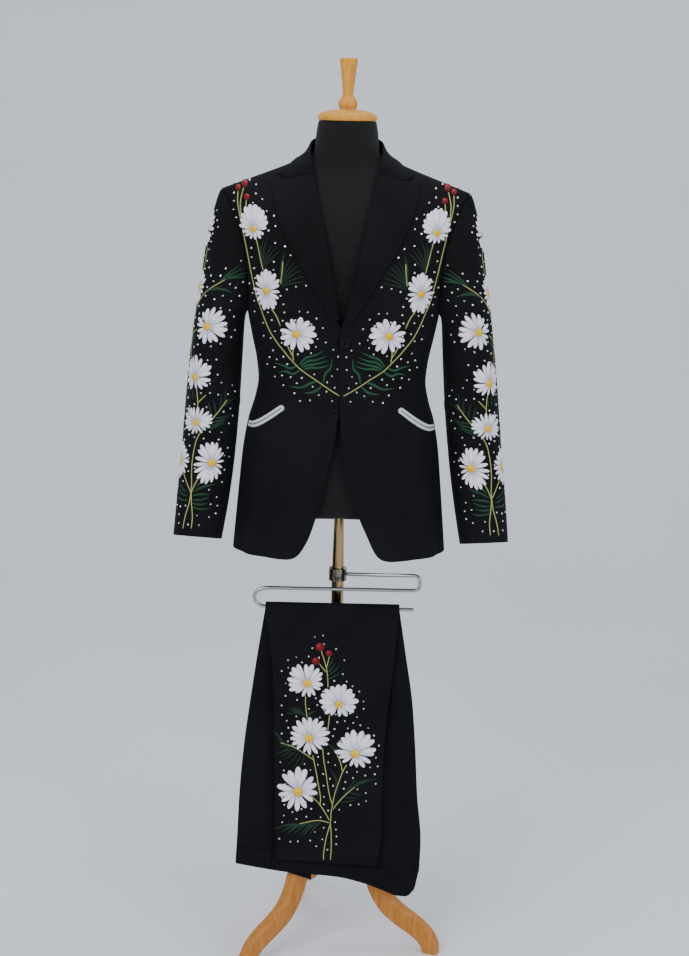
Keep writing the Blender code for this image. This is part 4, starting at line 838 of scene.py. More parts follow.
def linear(code):
    """sRGB hex to linear colour."""
    c = np.array([int(code[k:k + 2], 16) for k in (1, 3, 5)]) / 255.0
    return tuple(np.where(c <= 0.04045, c / 12.92, ((c + 0.055) / 1.055) ** 2.4).tolist())


def add(tree, kind, inputs=(), **settings):
    """A node with its settings; each input takes a value or another node's socket."""
    made = tree.nodes.new(kind)
    for name, value in settings.items():
        setattr(made, name, value)
    for name, value in dict(inputs).items():
        if isinstance(value, bpy.types.NodeSocket):
            tree.links.new(value, made.inputs[name])
        else:
            made.inputs[name].default_value = value
    return made


def place_in(tree, source="object", **mapping):
    """Place on the piece, or along its cloth, turned or stretched where a mapping is given."""
    if source == "cloth":
        place = add(tree, "ShaderNodeUVMap", uv_map="cloth").outputs["UV"]
    else:
        place = add(tree, "ShaderNodeTexCoord").outputs["Object"]
    if not mapping:
        return place
    return add(tree, "ShaderNodeMapping", {"Vector": place, **mapping}).outputs["Vector"]


def noise(tree, place, scale, detail, **more):
    """Grey noise at a place."""
    inputs = {"Vector": place, "Scale": scale, "Detail": detail, **more}
    return add(tree, "ShaderNodeTexNoise", inputs).outputs["Fac"]


def wave(tree, place, spacing, **more):
    """Grey lines, as far apart as the spacing."""
    inputs = {"Vector": place, "Scale": 1 / spacing / 6.2832 * 1.5, **more}
    return add(tree, "ShaderNodeTexWave", inputs).outputs["Fac"]


def ramp_node(tree, factor, *stops):
    """Colour ramp from pairs of place and hex colour."""
    made = add(tree, "ShaderNodeValToRGB", {"Fac": factor})
    elements = made.color_ramp.elements
    for k, (place, code) in enumerate(stops):
        element = elements[k] if k < 2 else elements.new(place)
        element.position = place
        element.color = (*linear(code), 1.0)
    return made.outputs["Color"]


def ranged(tree, value, **ends):
    """Value carried from one range to another."""
    inputs = {"Value": value, **{name.replace("_", " "): end for name, end in ends.items()}}
    return add(tree, "ShaderNodeMapRange", inputs).outputs["Result"]


def multiplied(tree, share, first, second):
    """First colour darkened by the second."""
    inputs = {0: share, 6: first, 7: second}
    return add(tree, "ShaderNodeMix", inputs, data_type="RGBA", blend_type="MULTIPLY").outputs[2]


def bumped(tree, shader, height, strength, distance):
    """Raises the surface a little by a grey value."""
    bump = add(tree, "ShaderNodeBump", {"Height": height, "Strength": strength, "Distance": distance})
    tree.links.new(bump.outputs["Normal"], shader.inputs["Normal"])


def finish_of(name, code, **values):
    """Principled material in one colour; returns it with its tree and shader for more nodes."""
    made = bpy.data.materials.new(name)
    made.use_nodes = True
    tree = made.node_tree
    shader = tree.nodes["Principled BSDF"]
    shader.inputs["Base Color"].default_value = (*linear(code), 1.0)
    for key, value in values.items():
        shader.inputs[key.replace("_", " ")].default_value = value
    made.diffuse_color = (*linear(code), 1.0)
    return made, tree, shader


def wool_finish(name, code="#101013"):
    """Worsted wool, twill woven and pressed: near black, smooth and matt with a little sheen at the rims."""
    made, tree, shader = finish_of(name, code, Roughness=0.84, Sheen_Weight=0.035, Sheen_Roughness=0.40,
                                   Sheen_Tint=(*linear("#b9bcd0"), 1.0), Specular_IOR_Level=0.08)
    # Twill lines are 0.4 mm apart in the cloth; 1.3 mm here, so that they show.
    slant = place_in(tree, "cloth", Rotation=(0.0, 0.0, math.radians(63)))
    twill = wave(tree, slant, 0.0013, Distortion=0.6, Detail=1.0)
    place = place_in(tree)
    fuzz = noise(tree, place, 900.0, 3.0)
    cloud = noise(tree, place, 9.0, 3.0)
    mix = add(tree, "ShaderNodeMix", {0: 0.45, 2: twill, 3: fuzz}, data_type="FLOAT").outputs[0]
    bumped(tree, shader, mix, 0.16, 0.0005)
    tone = ramp_node(tree, cloud, (0.30, "#0f0f11"), (0.70, "#151518"))
    tree.links.new(tone, shader.inputs["Base Color"])
    return made


def lining_finish(name):
    """Cotton pocketing: dark, even, a little glossier than the cloth."""
    made, tree, shader = finish_of(name, "#0b0a0b", Roughness=0.75, Specular_IOR_Level=0.10)
    bumped(tree, shader, noise(tree, place_in(tree), 700.0, 2.0), 0.15, 0.0003)
    return made


def jersey_finish(name):
    """Cotton jersey stretched over the form: black, quite matt, fine upright wales."""
    made, tree, shader = finish_of(name, "#151516", Roughness=0.90, Sheen_Weight=0.06,
                                   Specular_IOR_Level=0.22)
    # Wales are 0.8 mm apart in the jersey; 2 mm here, so that they show.
    wale = noise(tree, place_in(tree, Scale=(1.0, 1.0, 0.25)), 480.0, 2.0)
    bumped(tree, shader, wale, 0.25, 0.0006)
    tone = ramp_node(tree, wale, (0.35, "#0e0e10"), (0.70, "#161618"))
    tree.links.new(tone, shader.inputs["Base Color"])
    return made


def thread_finish(name):
    """Rayon embroidery thread in satin stitch: bright colours with fine lines along each stitch."""
    made, tree, shader = finish_of(name, "#d6d4e2", Roughness=0.52, Sheen_Weight=0.03,
                                   Specular_IOR_Level=0.20)
    dyed = add(tree, "ShaderNodeVertexColor", layer_name="thread").outputs["Color"]
    # Threads are 0.35 mm thick; drawn 0.9 mm apart, so that they show.
    strand = noise(tree, place_in(tree, "cloth", Scale=(1.0, 0.10, 1.0)), 1100.0, 2.0)
    shade = ranged(tree, strand, From_Min=0.30, From_Max=0.62, To_Min=0.80, To_Max=1.05)
    tree.links.new(multiplied(tree, 1.0, dyed, shade), shader.inputs["Base Color"])
    bumped(tree, shader, strand, 0.35, 0.0004)
    return made


def crystal_finish(name):
    """Foil-backed glass stones: small facets that throw back most of the light."""
    made, tree, shader = finish_of(name, "#e9eaee", Roughness=0.12, Metallic=0.55, Coat_Weight=0.6,
                                   Coat_Roughness=0.03)
    tone = ramp_node(tree, noise(tree, place_in(tree), 350.0, 0.0), (0.30, "#a9aab0"), (0.55, "#ffffff"))
    tree.links.new(tone, shader.inputs["Base Color"])
    return made


def satin_cord_finish(name):
    """White rayon cord over a filling: pale grey white with slanting thread lines."""
    made, tree, shader = finish_of(name, "#dfe0e4", Roughness=0.50, Sheen_Weight=0.20)
    # The twist is 1 mm long on the cord; 2 mm here, so that it shows.
    slant = place_in(tree, "cloth", Rotation=(0.0, 0.0, math.radians(38)))
    twist = wave(tree, slant, 0.0020, Distortion=0.4)
    bumped(tree, shader, twist, 0.30, 0.0005)
    dyed = add(tree, "ShaderNodeVertexColor", layer_name="thread").outputs["Color"]
    shade = ramp_node(tree, twist, (0.10, "#dcdde2"), (0.60, "#ffffff"))
    tree.links.new(multiplied(tree, 1.0, dyed, shade), shader.inputs["Base Color"])
    return made


def button_finish(name):
    """Polished polyester button: dark, nearly black, clear gloss with faint cloudy streaks."""
    made, tree, shader = finish_of(name, "#070607", Roughness=0.24, Coat_Weight=0.06, Coat_Roughness=0.06,
                                   Specular_IOR_Level=0.14)
    streak = noise(tree, place_in(tree), 160.0, 3.0, Distortion=1.2)
    tone = ramp_node(tree, streak, (0.35, "#040405"), (0.75, "#0c0b0c"))
    tree.links.new(tone, shader.inputs["Base Color"])
    return made


def wood_finish(name, dark="#c8892a", middle="#d59637", light="#dfa044"):
    """Beech, turned or sawn to a curve and varnished: honey colour, fine grain with small flecks."""
    made, tree, shader = finish_of(name, "#d49638", Roughness=0.50, Coat_Weight=0.07, Coat_Roughness=0.10,
                                   Specular_IOR_Level=0.20)
    along = place_in(tree, Scale=(1.0, 1.0, 0.08))
    grain = noise(tree, along, 160.0, 5.0, Distortion=0.6)
    broad = ramp_node(tree, grain, (0.30, dark), (0.50, middle), (0.70, light))
    small = ramp_node(tree, noise(tree, along, 620.0, 2.0), (0.34, "#d9b682"), (0.44, "#ffffff"))
    tree.links.new(multiplied(tree, 0.35, broad, small), shader.inputs["Base Color"])
    bumped(tree, shader, grain, 0.08, 0.0004)
    return made


def brass_finish(name, code="#b09468"):
    """Antique brass under old brown lacquer: satin metal with fine scratches and dark upright streaks of painted
    reflection.
    """
    made, tree, shader = finish_of(name, code, Metallic=1.0, Roughness=0.20)
    # Dark upright streaks in the base colour: painted reflection, one of them down the pole's front.
    streak = noise(tree, place_in(tree, Location=PAINTED_REFLECTION_AT, Scale=(1.0, 1.0, 0.05)), 62.0, 3.0)
    brush = noise(tree, place_in(tree, Scale=(1.0, 1.0, 0.04)), 900.0, 2.0)
    rough = ranged(tree, brush, From_Min=0.3, From_Max=0.7, To_Min=0.13, To_Max=0.26)
    tree.links.new(ramp_node(tree, streak, (0.42, "#1c150e"), (0.55, code)), shader.inputs["Base Color"])
    tree.links.new(rough, shader.inputs["Roughness"])
    return made


def steel_finish(name):
    """Drawn steel rod, bright plated: smooth with faint lines along it."""
    made, tree, shader = finish_of(name, "#a9aaac", Metallic=1.0, Roughness=0.22)
    line = noise(tree, place_in(tree, Scale=(0.05, 1.0, 1.0)), 1500.0, 2.0)
    tree.links.new(ranged(tree, line, To_Min=0.14, To_Max=0.34), shader.inputs["Roughness"])
    return made


# The jacket's surface


def step_row(step):
    """Row coordinate of a step over the shoulder; steps below zero are heights under the dome."""
    step = np.asarray(step, dtype=float)
    over = DOME_FROM + (RIDGE - DOME_FROM) * step / 90.0
    under = DOME_FROM + (DOME_FROM - ARMHOLE_FROM) * step / 30.0
    return np.where(step < 0, under, over)


def body_ring(v):
    """Half width, depths, shoulder fall, turn of the dome and centre height of row v."""
    turn = np.clip((v - DOME_FROM) / (RIDGE - DOME_FROM), 0.0, 1.0) * math.pi / 2
    rise = (RIDGE - DOME_FROM) * np.sin(turn) ** DOME_POWER
    height = np.where(v > DOME_FROM, DOME_FROM + rise, v)
    shrink = np.maximum(np.cos(turn), 0.0) ** DOME_POWER
    part = np.clip((height - SLOPE_FROM) / (RIDGE - SLOPE_FROM), 0.0, 1.0)
    return (read(RING, "half_width", height), read(RING, "front", height) * shrink,
            read(RING, "back", height) * shrink, SHOULDER_SLOPE * part ** 1.5, turn, height)


def height_at(x, fall, turn, height, facing):
    """Height of a row at x: it falls toward the shoulder and rises to the neck."""
    spread = np.sqrt(x * x + SLOPE_SOFT ** 2) - SLOPE_SOFT
    power = np.where(facing > 0, 8.0, 2.0)
    return height - fall * spread + NECK_RISE * np.exp(-(x / NECK_RISE_WIDTH) ** 2) * np.sin(turn) ** power


def body_point(theta, v):
    """Point of the jacket's outer face at angle theta from centre front and row v."""
    theta, v = np.broadcast_arrays(np.asarray(theta, dtype=float), np.asarray(v, dtype=float))
    width, front, back, fall, turn, height = body_ring(v)
    facing = np.cos(theta)
    x = width * signed_power(np.sin(theta), ROUNDNESS)
    y = -np.where(facing > 0, front, back) * signed_power(facing, ROUNDNESS)
    z = height_at(x, fall, turn, height, facing)
    z = z + BACK_HEM_RISE * np.clip(-facing, 0.0, 1.0) * (1.0 - ramp(LOW_ROWS[0], BACK_HEM_FADE, height))
    return np.stack([x, y, z], axis=-1)


def body_normal(theta, v):
    """Outward normal of that face."""
    across = body_point(theta + 0.01, v) - body_point(theta - 0.01, v)
    above = body_point(theta, np.minimum(v + 0.002, RIDGE))
    return unit(np.cross(across, above - body_point(theta, v - 0.002)))


def theta_of_x(x, v):
    """Angle at which row v passes through x."""
    width = body_ring(v)[0]
    return np.sign(x) * np.arcsin(np.clip(np.abs(x) / width, 0.0, 1.0) ** (1.0 / ROUNDNESS))


def row_of_height(x, z, facing=1.0, passes=45):
    """Row whose front passes through (x, z)."""
    x, z = np.asarray(x, dtype=float), np.asarray(z, dtype=float)
    low = np.full(np.broadcast(x, z).shape, LOWEST_ROW)
    return halved(low, np.full(low.shape, RIDGE),
                  lambda v: height_at(x, *body_ring(v)[3:], facing) < z, passes)


def row_of_plan(x, y):
    """Row over the shoulder that passes through (x, y) seen from above."""
    def beyond(v):
        deep = np.where(y < 0, *body_ring(v)[1:3])
        return deep * np.abs(np.cos(theta_of_x(x, v))) ** ROUNDNESS > np.abs(y)
    return halved(np.full(np.shape(x), DOME_FROM), np.full(np.shape(x), RIDGE), beyond)


def edge_theta(edge, v):
    """Angle where row v meets a front's centre edge."""
    x = read(edge, "x", body_ring(v)[5])
    for _ in range(60):
        z = height_at(x, *body_ring(v)[3:], 1.0)
        x = 0.5 * x + 0.5 * (read(edge, "x", z) + ROLL_PULL)
    return theta_of_x(x, v)


def body_rows():
    """Rows of the panels, as the solids have them."""
    return np.concatenate([np.array(LOW_ROWS + HIGH_ROWS), step_row(DOME_STEPS)])


def armhole_theta(v, side):
    """Angle of the armhole's front or back at row v."""
    return np.radians(smooth(step_row(ARMHOLE["step"]), ARMHOLE[side], v))


def under_band(x, z):
    """How far the under front is tucked in at (x, z)."""
    band = 1.0 - ramp(OVERLAP_FROM, OVERLAP_TO, x)
    return OVERLAP_DEPTH * band * ramp(*OVERLAP_FOOT, z) * (1.0 - ramp(*OVERLAP_TOP, z))


def body_cloth(theta, v, side, front=False):
    """Jacket surface with its creases, and its normal; the under front is tucked in."""
    point, normal = body_point(theta, v), body_normal(theta, v)
    high = crease_height(BODY_CREASES, np.degrees(theta) * side * DEGREE, point[..., 2])
    if front and side < 0:
        high = high - under_band(point[..., 0], point[..., 2])
    return point + normal * high[..., None], normal


def front_cloth(x, z, side):
    """Point and normal of a front's outer face at (x, z)."""
    v = row_of_height(x, z)
    return body_cloth(theta_of_x(x, v), v, side, front=True)


def fine_rows():
    """The panels' rows with four more between each two, and crowded at the shoulder seam."""
    rows = body_rows()
    fine = np.interp(np.linspace(0, len(rows) - 1, 5 * (len(rows) - 1) + 1), np.arange(len(rows)), rows)
    return np.unique(np.concatenate([fine, step_row(90 - np.array(RIDGE_STEPS))]))


def body_panel(name, side, finish, rows, first, last, spacing, low=-np.inf, high=np.inf, front=False):
    """Panel between two angles at each row, kept between a low and a high corner."""
    theta = first[:, None] + (last - first)[:, None] * edge_shares(*spacing)
    outer, normal = body_cloth(theta, np.broadcast_to(rows[:, None], theta.shape), side, front)
    outer, inner = (np.clip(face, low, high) * mirror(side) for face in (outer, outer - normal * CLOTH))
    return cloth_shell(name, outer, inner, finish)


def front_panel(side, edge, name, finish):
    """Front from its centre edge to the side seam and armhole."""
    rows = fine_rows()
    seam = np.where(rows > ARMHOLE_FROM, armhole_theta(rows, "front"),
                    math.radians(SIDE_SEAM_FRONT) - SEAM_PULL)
    return body_panel(name, side, finish, rows, edge_theta(edge, rows), seam, (0.20, 60),
                      high=(np.inf, -SEAM_GAP, np.inf), front=True)


def side_panel(side, name, finish):
    """Panel under the arm between the front and back seams."""
    rows = fine_rows()
    rows = rows[rows <= ARMHOLE_FROM + 1e-9]
    first = np.full(len(rows), math.radians(SIDE_SEAM_FRONT) + SEAM_PULL)
    last = np.full(len(rows), math.radians(SIDE_SEAM_BACK) - SEAM_PULL)
    return body_panel(name, side, finish, rows, first, last, (0.09, 22))


def back_panel(side, name, finish):
    """Back from the side seam and armhole to the centre seam, open at the neck."""
    rows = fine_rows()
    seam = np.where(rows > ARMHOLE_FROM, armhole_theta(rows, "back"),
                    math.radians(SIDE_SEAM_BACK) + SEAM_PULL)
    part = np.clip(body_ring(rows)[2] / NECK_BACK, 0.0, 1.0)
    middle = math.pi - theta_of_x(NECK_HALF_WIDTH * np.sqrt(1.0 - part ** 2), rows)
    return body_panel(name, side, finish, rows, middle, seam, (0.20, 48), low=(SEAM_GAP, SEAM_GAP, -np.inf))


# Sleeves


def armhole_loop():
    """Armhole seam, from its lowest point up the front, over the shoulder end and down the back."""
    low = body_point(np.radians(ARMHOLE_LOW_FRONT), ARMHOLE_FROM)
    rows = body_rows()
    rows = rows[rows > ARMHOLE_FROM]
    front = body_point(armhole_theta(rows, "front"), rows)
    back = body_point(armhole_theta(rows, "back"), rows)[:-1][::-1]
    loop = np.concatenate([low, front, back, body_point(np.radians(ARMHOLE_LOW_BACK), ARMHOLE_FROM)])
    loop[:, 0] += SLEEVE_SET_IN
    top = len(low) + len(front) - 1
    far = walked(loop, 0)
    phi = np.where(np.arange(len(loop)) <= top, far / far[top],
                   1.0 + (far - far[top]) / (far[-1] - far[top])) * math.pi
    return phi, loop


def sleeve_surface(phi, head, tube):
    """Rings of the sleeve: the head as Bezier curves from the armhole, then the table's rings smoothed."""
    loop_phi, loop = armhole_loop()
    knots = np.concatenate([loop_phi[:-1] - 2 * math.pi, loop_phi, loop_phi[1:] + 2 * math.pi])
    ring = np.concatenate([loop[:-1], loop, loop[1:]])
    turn = np.mod(phi, 2 * math.pi)
    first = np.stack([smooth(knots, ring[:, k], turn) for k in range(3)], axis=-1)
    c = signed_power(np.cos(phi), SLEEVE_ROUNDNESS)
    s = signed_power(np.sin(phi), SLEEVE_ROUNDNESS)
    at = np.concatenate([[0.0, 1.0], tube])
    rings = {name: stepped(column, at)[:, None] for name, column in SLEEVE.items()}
    share = (1.0 - c) / 2
    x = rings["inner_x"] + (rings["outer_x"] - rings["inner_x"]) * share
    z = rings["inner_z"] + (rings["outer_z"] - rings["inner_z"]) * share + rings["lift"] * s
    tubes = np.stack([x, rings["middle"] - rings["half_depth"] * s, z], axis=-1)
    leave = unit(np.stack([HEAD_OUT[0] + HEAD_OUT[1] * c, -HEAD_ASIDE * s,
                           -HEAD_DOWN[0] - HEAD_DOWN[1] * c], axis=-1))
    arrive = unit(tubes[1] - tubes[0])
    far = np.linalg.norm(tubes[0] - first, axis=-1, keepdims=True)
    t = np.asarray(head)[:, None, None]
    cap = ((1 - t) ** 3 * first + 3 * t * (1 - t) ** 2 * (first + leave * far * HEAD_LEAVE)
           + 3 * t * t * (1 - t) * (tubes[0] - arrive * far * HEAD_ARRIVE) + t ** 3 * tubes[0])
    return np.concatenate([cap, tubes[2:]])


def sleeve_cloth(phi):
    """Sleeve surface with its creases and normals; lower down it swings toward the viewer's right."""
    head = np.concatenate([SEAM_SHARES, np.linspace(0.04, 1.0, 30)[:-1]])
    last = len(SLEEVE["middle"]) - 1.0
    tube = np.concatenate([np.linspace(0.0, last - 0.025, 84), last - np.array(CUFF_STEPS)])
    outer = sleeve_surface(phi, head, tube)
    across = sleeve_surface(phi + 0.01, head, tube) - sleeve_surface(phi - 0.01, head, tube)
    normal = unit(np.cross(np.gradient(outer, axis=0), across))
    high = crease_height(SLEEVE_CREASES, np.mod(phi, 2 * math.pi)[None, :] * SLEEVE_TURN, outer[..., 2])
    high = high * ramp(*CREASES_FROM, np.concatenate([head, np.ones(len(tube))]))[:, None]
    outer = outer + normal * high[..., None]
    swing = SLEEVE_SWING * (1.0 - ramp(*SWING_BETWEEN, outer[..., 2]))
    return outer, normal, np.stack([swing, np.zeros_like(swing), np.zeros_like(swing)], axis=-1)


def sleeve_piece(side, first, last, name, finish):
    """Piece of the sleeve between two seams of the armhole loop."""
    loop_phi, loop = armhole_loop()
    start, stop = loop_phi[first] + SLEEVE_SEAM_PULL, loop_phi[last] - SLEEVE_SEAM_PULL
    stop += 2 * math.pi if stop < start else 0.0
    outer, normal, aside = sleeve_cloth(start + (stop - start) * edge_shares(0.18, 56))
    inward = unit((loop.mean(axis=0) - outer[:1]) * np.array([0.0, 1.0, 1.0]))
    near = np.exp(-walked(outer, 0) / 0.003)[..., None]
    inner = outer + unit(inward * near - normal * (1.0 - near)) * CLOTH
    return cloth_shell(name, outer * mirror(side) + aside, inner * mirror(side) + aside, finish)


# Lapels and collar


def fold_points(base, normal, toward, angle):
    """Arc of the lapel's fold at each row: from inside the front, round its edge, to lie on top."""
    middle = base + normal * (FOLD_RADIUS - CLOTH)
    return (middle[:, None] - toward[:, None] * FOLD_RADIUS * np.sin(angle)
            - normal[:, None] * FOLD_RADIUS * np.cos(angle))


def lapel(side, edge, start, name, finish):
    """Lapel: an arc round the roll line at each height, then a row over the front to the outer edge."""
    roll = LAPEL["roll"][start:].copy()
    if start:
        roll[0] = UNDER_LAPEL_ROLL
    at = edge_shares(0.27, 70) * (len(roll) - 1)
    roll, edge_x, edge_z = (stepped(column, at)
                            for column in (roll, LAPEL["edge_x"][start:], LAPEL["edge_z"][start:]))
    roll_x = read(edge, "x", roll)
    base, normal = front_cloth(roll_x, roll, side)
    toward = square_to(normal, front_cloth(edge_x, edge_z, side)[0] - base)
    angle = np.radians(np.linspace(0.0, 180.0, 15))[None, :, None]
    fold_way = unit(-toward[:, None] * np.sin(angle) - normal[:, None] * np.cos(angle))
    share = end_shares(0.03, 0.09, 34)[None, :]
    point, way = front_cloth(roll_x[:, None] + (edge_x - roll_x)[:, None] * share,
                             roll[:, None] + (edge_z - roll)[:, None] * share, side)
    lift = smooth(LAPEL_LIFT["share"], LAPEL_LIFT["lift"], share)
    outer = np.concatenate([fold_points(base, normal, toward, angle), point + way * lift[..., None]], axis=1)
    inner = outer - np.concatenate([fold_way, way], axis=1) * LAPEL_CLOTH
    return cloth_shell(name, outer * mirror(side), inner * mirror(side), finish)


def collar_stations():
    """Fold centre, way up, way to the neck, fall edge and neck seam, front end to centre back."""
    fold, seam = (np.stack([COLLAR[kind + axis] for axis in "xyz"], axis=-1) for kind in ("fold_", "seam_"))
    v = row_of_plan(COLLAR["edge_x"], COLLAR["edge_y"])
    theta = theta_of_x(COLLAR["edge_x"], v)
    theta = np.where(COLLAR["edge_y"] > 0, math.pi - theta, theta)
    edge = body_point(theta, v) + body_normal(theta, v) * COLLAR_LIFT
    up = unit(fold - 0.5 * (seam + edge))
    return fold, up, square_to(up, seam - edge), edge, seam


def whole_collar(half):
    """Half collar rows, mirrored over the centre back."""
    return np.concatenate([half, half[:-1][::-1] * mirror(-1)])


def collar_fall(name, finish):
    """Collar outside: an arc over the fold line, then down to the edge; its end meets the lapel."""
    fold, up, neckward, edge, _ = collar_stations()
    angle = np.radians(np.linspace(0.0, 180.0, 13))[None, :, None]
    arc = (fold[:, None] + neckward[:, None] * COLLAR_FOLD * np.cos(angle)
           + up[:, None] * COLLAR_FOLD * np.sin(angle))
    first = arc[:, -1]
    at = end_shares(0.06, 0.045, 16)
    shares = at[None, :, None]
    bow = np.array(FALL_BOW)[:, None, None] * np.sin(math.pi * shares)
    fall = first[:, None] + (edge - first)[:, None] * shares - neckward[:, None] * bow
    gorge = np.array([read(OVER_EDGE, "x", LAPEL["roll"][-1]), LAPEL["roll"][-1]])
    corner = np.array([LAPEL["edge_x"][-1], LAPEL["edge_z"][-1]])
    notch = gorge + (corner - gorge) * NOTCH_SHARE
    base, normal = front_cloth(gorge[:1], gorge[1:], 1)
    toward = square_to(normal, front_cloth(corner[:1], corner[1:], 1)[0] - base)
    ends = (np.interp(at, (0.0, NOTCH_AT, 1.0), places)[None] for places in zip(gorge, notch, COLLAR_TIP))
    point, way = front_cloth(*ends, 1)
    lift = np.interp(at, *COLLAR_END_LIFT)
    over = point + way * lift[None, :, None]
    end = np.concatenate([fold_points(base, normal, toward, angle), over], axis=1)
    rows = np.concatenate([end + np.array([0.0, 0.0, GAP * 1.4]), np.concatenate([arc, fall], axis=1)])
    rows = whole_collar(rows)
    outer = spline(rows, edge_shares(0.42, 120) * (len(rows) - 1))
    inner = outer - unit(np.cross(np.gradient(outer, axis=1), np.gradient(outer, axis=0))) * COLLAR_CLOTH
    return cloth_shell(name, outer, inner, finish)


def collar_stand(name, finish):
    """Collar inside: from the neck seam up to under the fold."""
    fold, up, neckward, _, seam = collar_stations()
    top = fold + neckward * COLLAR_FOLD - up * GAP
    middle = seam + (top - seam) * 0.5 + neckward * 0.0006
    outer = whole_collar(np.stack([seam, middle, top], axis=1)[1:])
    away = whole_collar(np.broadcast_to(-neckward[1:, None], (len(seam) - 1, 3, 3)))
    along = edge_shares(0.36, 80) * (len(outer) - 1)
    outer, away = (spline(rows.transpose(1, 0, 2), edge_shares(0.03, 10) * 2).transpose(1, 0, 2)
                   for rows in (spline(outer, along), unit(spline(away, along))))
    return cloth_shell(name, outer, outer + away * COLLAR_CLOTH, finish)


# Pockets and buttons


def pocket_cords(side, name, finish):
    """Piping of the pocket: one white cord along the mouth, round its inner end and back."""
    at = np.linspace(0.0, len(POCKET["x"]) - 1.0, 60)
    line = np.stack([stepped(POCKET["x"], at), stepped(POCKET["height"], at)], axis=-1)
    along = unit(np.gradient(line, axis=0))
    across = np.stack([-along[:, 1], along[:, 0]], axis=-1)
    turn = np.linspace(0.0, math.pi, 13)[1:-1, None]
    start = line[0] + along[0] * CORD_APART
    bow = start - along[0] * CORD_APART * np.sin(turn) + across[0] * CORD_APART * np.cos(turn)
    line = np.concatenate([start[None], line[1:]])
    path = np.concatenate([(line + across * CORD_APART)[::-1], bow, line - across * CORD_APART])[None]
    half = np.full(path.shape[:2], CORD_HALF)
    # The white cord turns grey toward its sides: painted shade.
    tone = mixed("#e4e5ea", "#7e8088", np.abs(ACROSS) ** 3)[None, None]
    place = chest_place(side)
    cords = strands(place, path, half, 0.90 * half, tone, lie=POCKET_BASE)
    # A dark strip along the mouth, mostly under the cord's two runs: painted shade in the pocket's opening.
    mouth = line[None, 1:]
    even = np.ones(mouth.shape[:2])
    black = mixed("#0d0d10", "#0d0d10", np.zeros(1))[None, None]
    dark = strands(place, mouth, even * (CORD_APART - MOUTH_THICK), even * MOUTH_THICK, black)
    return joined(name, [cords, dark], finish)


def button(side, place, name, finish):
    """Four-hole button as a turned dish: rim, sunk middle and holes as dimples in a polar grid."""
    on_cloth = front_cloth(np.array(place[:1]), np.array(place[1:]), side)
    point, normal = (vector[0] * mirror(side) for vector in on_cloth)
    right = unit(np.cross(np.array([0.0, 0.0, 1.0]), normal))
    up = np.cross(normal, right)
    rounded = BUTTON_RIM + BUTTON_ROUND * np.sin(np.linspace(0.15, 1.0, 8) * math.pi / 2)
    radius = np.concatenate([np.linspace(0.0, 0.0062, 26), np.linspace(0.0064, BUTTON_RIM, 8), rounded])
    top = np.interp(radius, BUTTON_DISH["radius"], BUTTON_TOP - BUTTON_DISH["below"])
    past = np.clip(radius - BUTTON_RIM, 0, None) / BUTTON_ROUND_TO
    top = top - BUTTON_ROUND * (1.0 - np.sqrt(np.clip(1.0 - past ** 2, 0, 1)))
    turns = around(72)
    a, b = radius[:, None] * np.cos(turns), radius[:, None] * np.sin(turns)
    high = np.broadcast_to(top[:, None], a.shape).copy()
    for hole_a in (-BUTTON_HOLE_AT, BUTTON_HOLE_AT):
        for hole_b in (-BUTTON_HOLE_AT, BUTTON_HOLE_AT):
            away = ((a - hole_a) ** 2 + (b - hole_b) ** 2) / BUTTON_HOLE ** 2
            high -= BUTTON_HOLE_DEEP * np.exp(-away ** 2)
    lower = BUTTON_UNDER["radius"][:, None]
    floor = np.broadcast_to(BUTTON_UNDER["height"][:, None], (len(lower), len(turns)))
    a = np.concatenate([a[1:], lower * np.cos(turns)])[..., None]
    b = np.concatenate([b[1:], lower * np.sin(turns)])[..., None]
    high = np.concatenate([high[1:], floor])[..., None]
    return tube_piece(name, point + a * right + b * up + high * normal, finish, sharp=None)


# The form and its stand


def cut_corners(profile, times=3):
    """Rounds an open profile: each pass replaces a corner by two points near the ends of its sides."""
    line = np.array(profile, dtype=float)
    for _ in range(times):
        a, b = line[:-1], line[1:]
        pairs = np.stack([0.78 * a + 0.22 * b, 0.22 * a + 0.78 * b], axis=1).reshape(-1, 2)
        line = np.concatenate([line[:1], pairs, line[-1:]])
    return line


def turned_piece(name, profile, finish):
    """Profile of radius and height carried round the stand's axis; a profile on the axis is closed there."""
    line = np.array(profile, dtype=float)
    line = line[(line[:, 0] > 1e-6) | (np.arange(len(line)) % (len(line) - 1) == 0)]
    hollow = line[0, 0] > 1e-6
    line = line if hollow else line[1:-1]
    turns = around(96)
    ring = np.stack([line[:, :1] * np.cos(turns), line[:, :1] * np.sin(turns),
                     np.broadcast_to(line[:, 1:2], (len(line), len(turns)))], axis=-1)
    if not hollow:
        return tube_piece(name, ring, finish, sharp=40)
    faces = [grid_faces(*ring.shape[:2], round_rows=True, round_columns=True)]
    return add_piece(name, ring, faces, finish, sharp=40)


def inside_body(x, y, z):
    """How far (x, y, z) is inside the jacket's outer face: below one is inside."""
    facing = np.where(y < 0, 1.0, -1.0)
    width, front, back = body_ring(row_of_height(x, z, facing, 31))[:3]
    top = height_at(x, SHOULDER_SLOPE, math.pi / 2, RIDGE, facing)
    depth = np.maximum(np.where(y < 0, front, back), 1e-6)
    value = (np.abs(x) / width) ** (2 / ROUNDNESS) + (np.abs(y) / depth) ** (2 / ROUNDNESS)
    return np.where(z > top, 9.0, value)


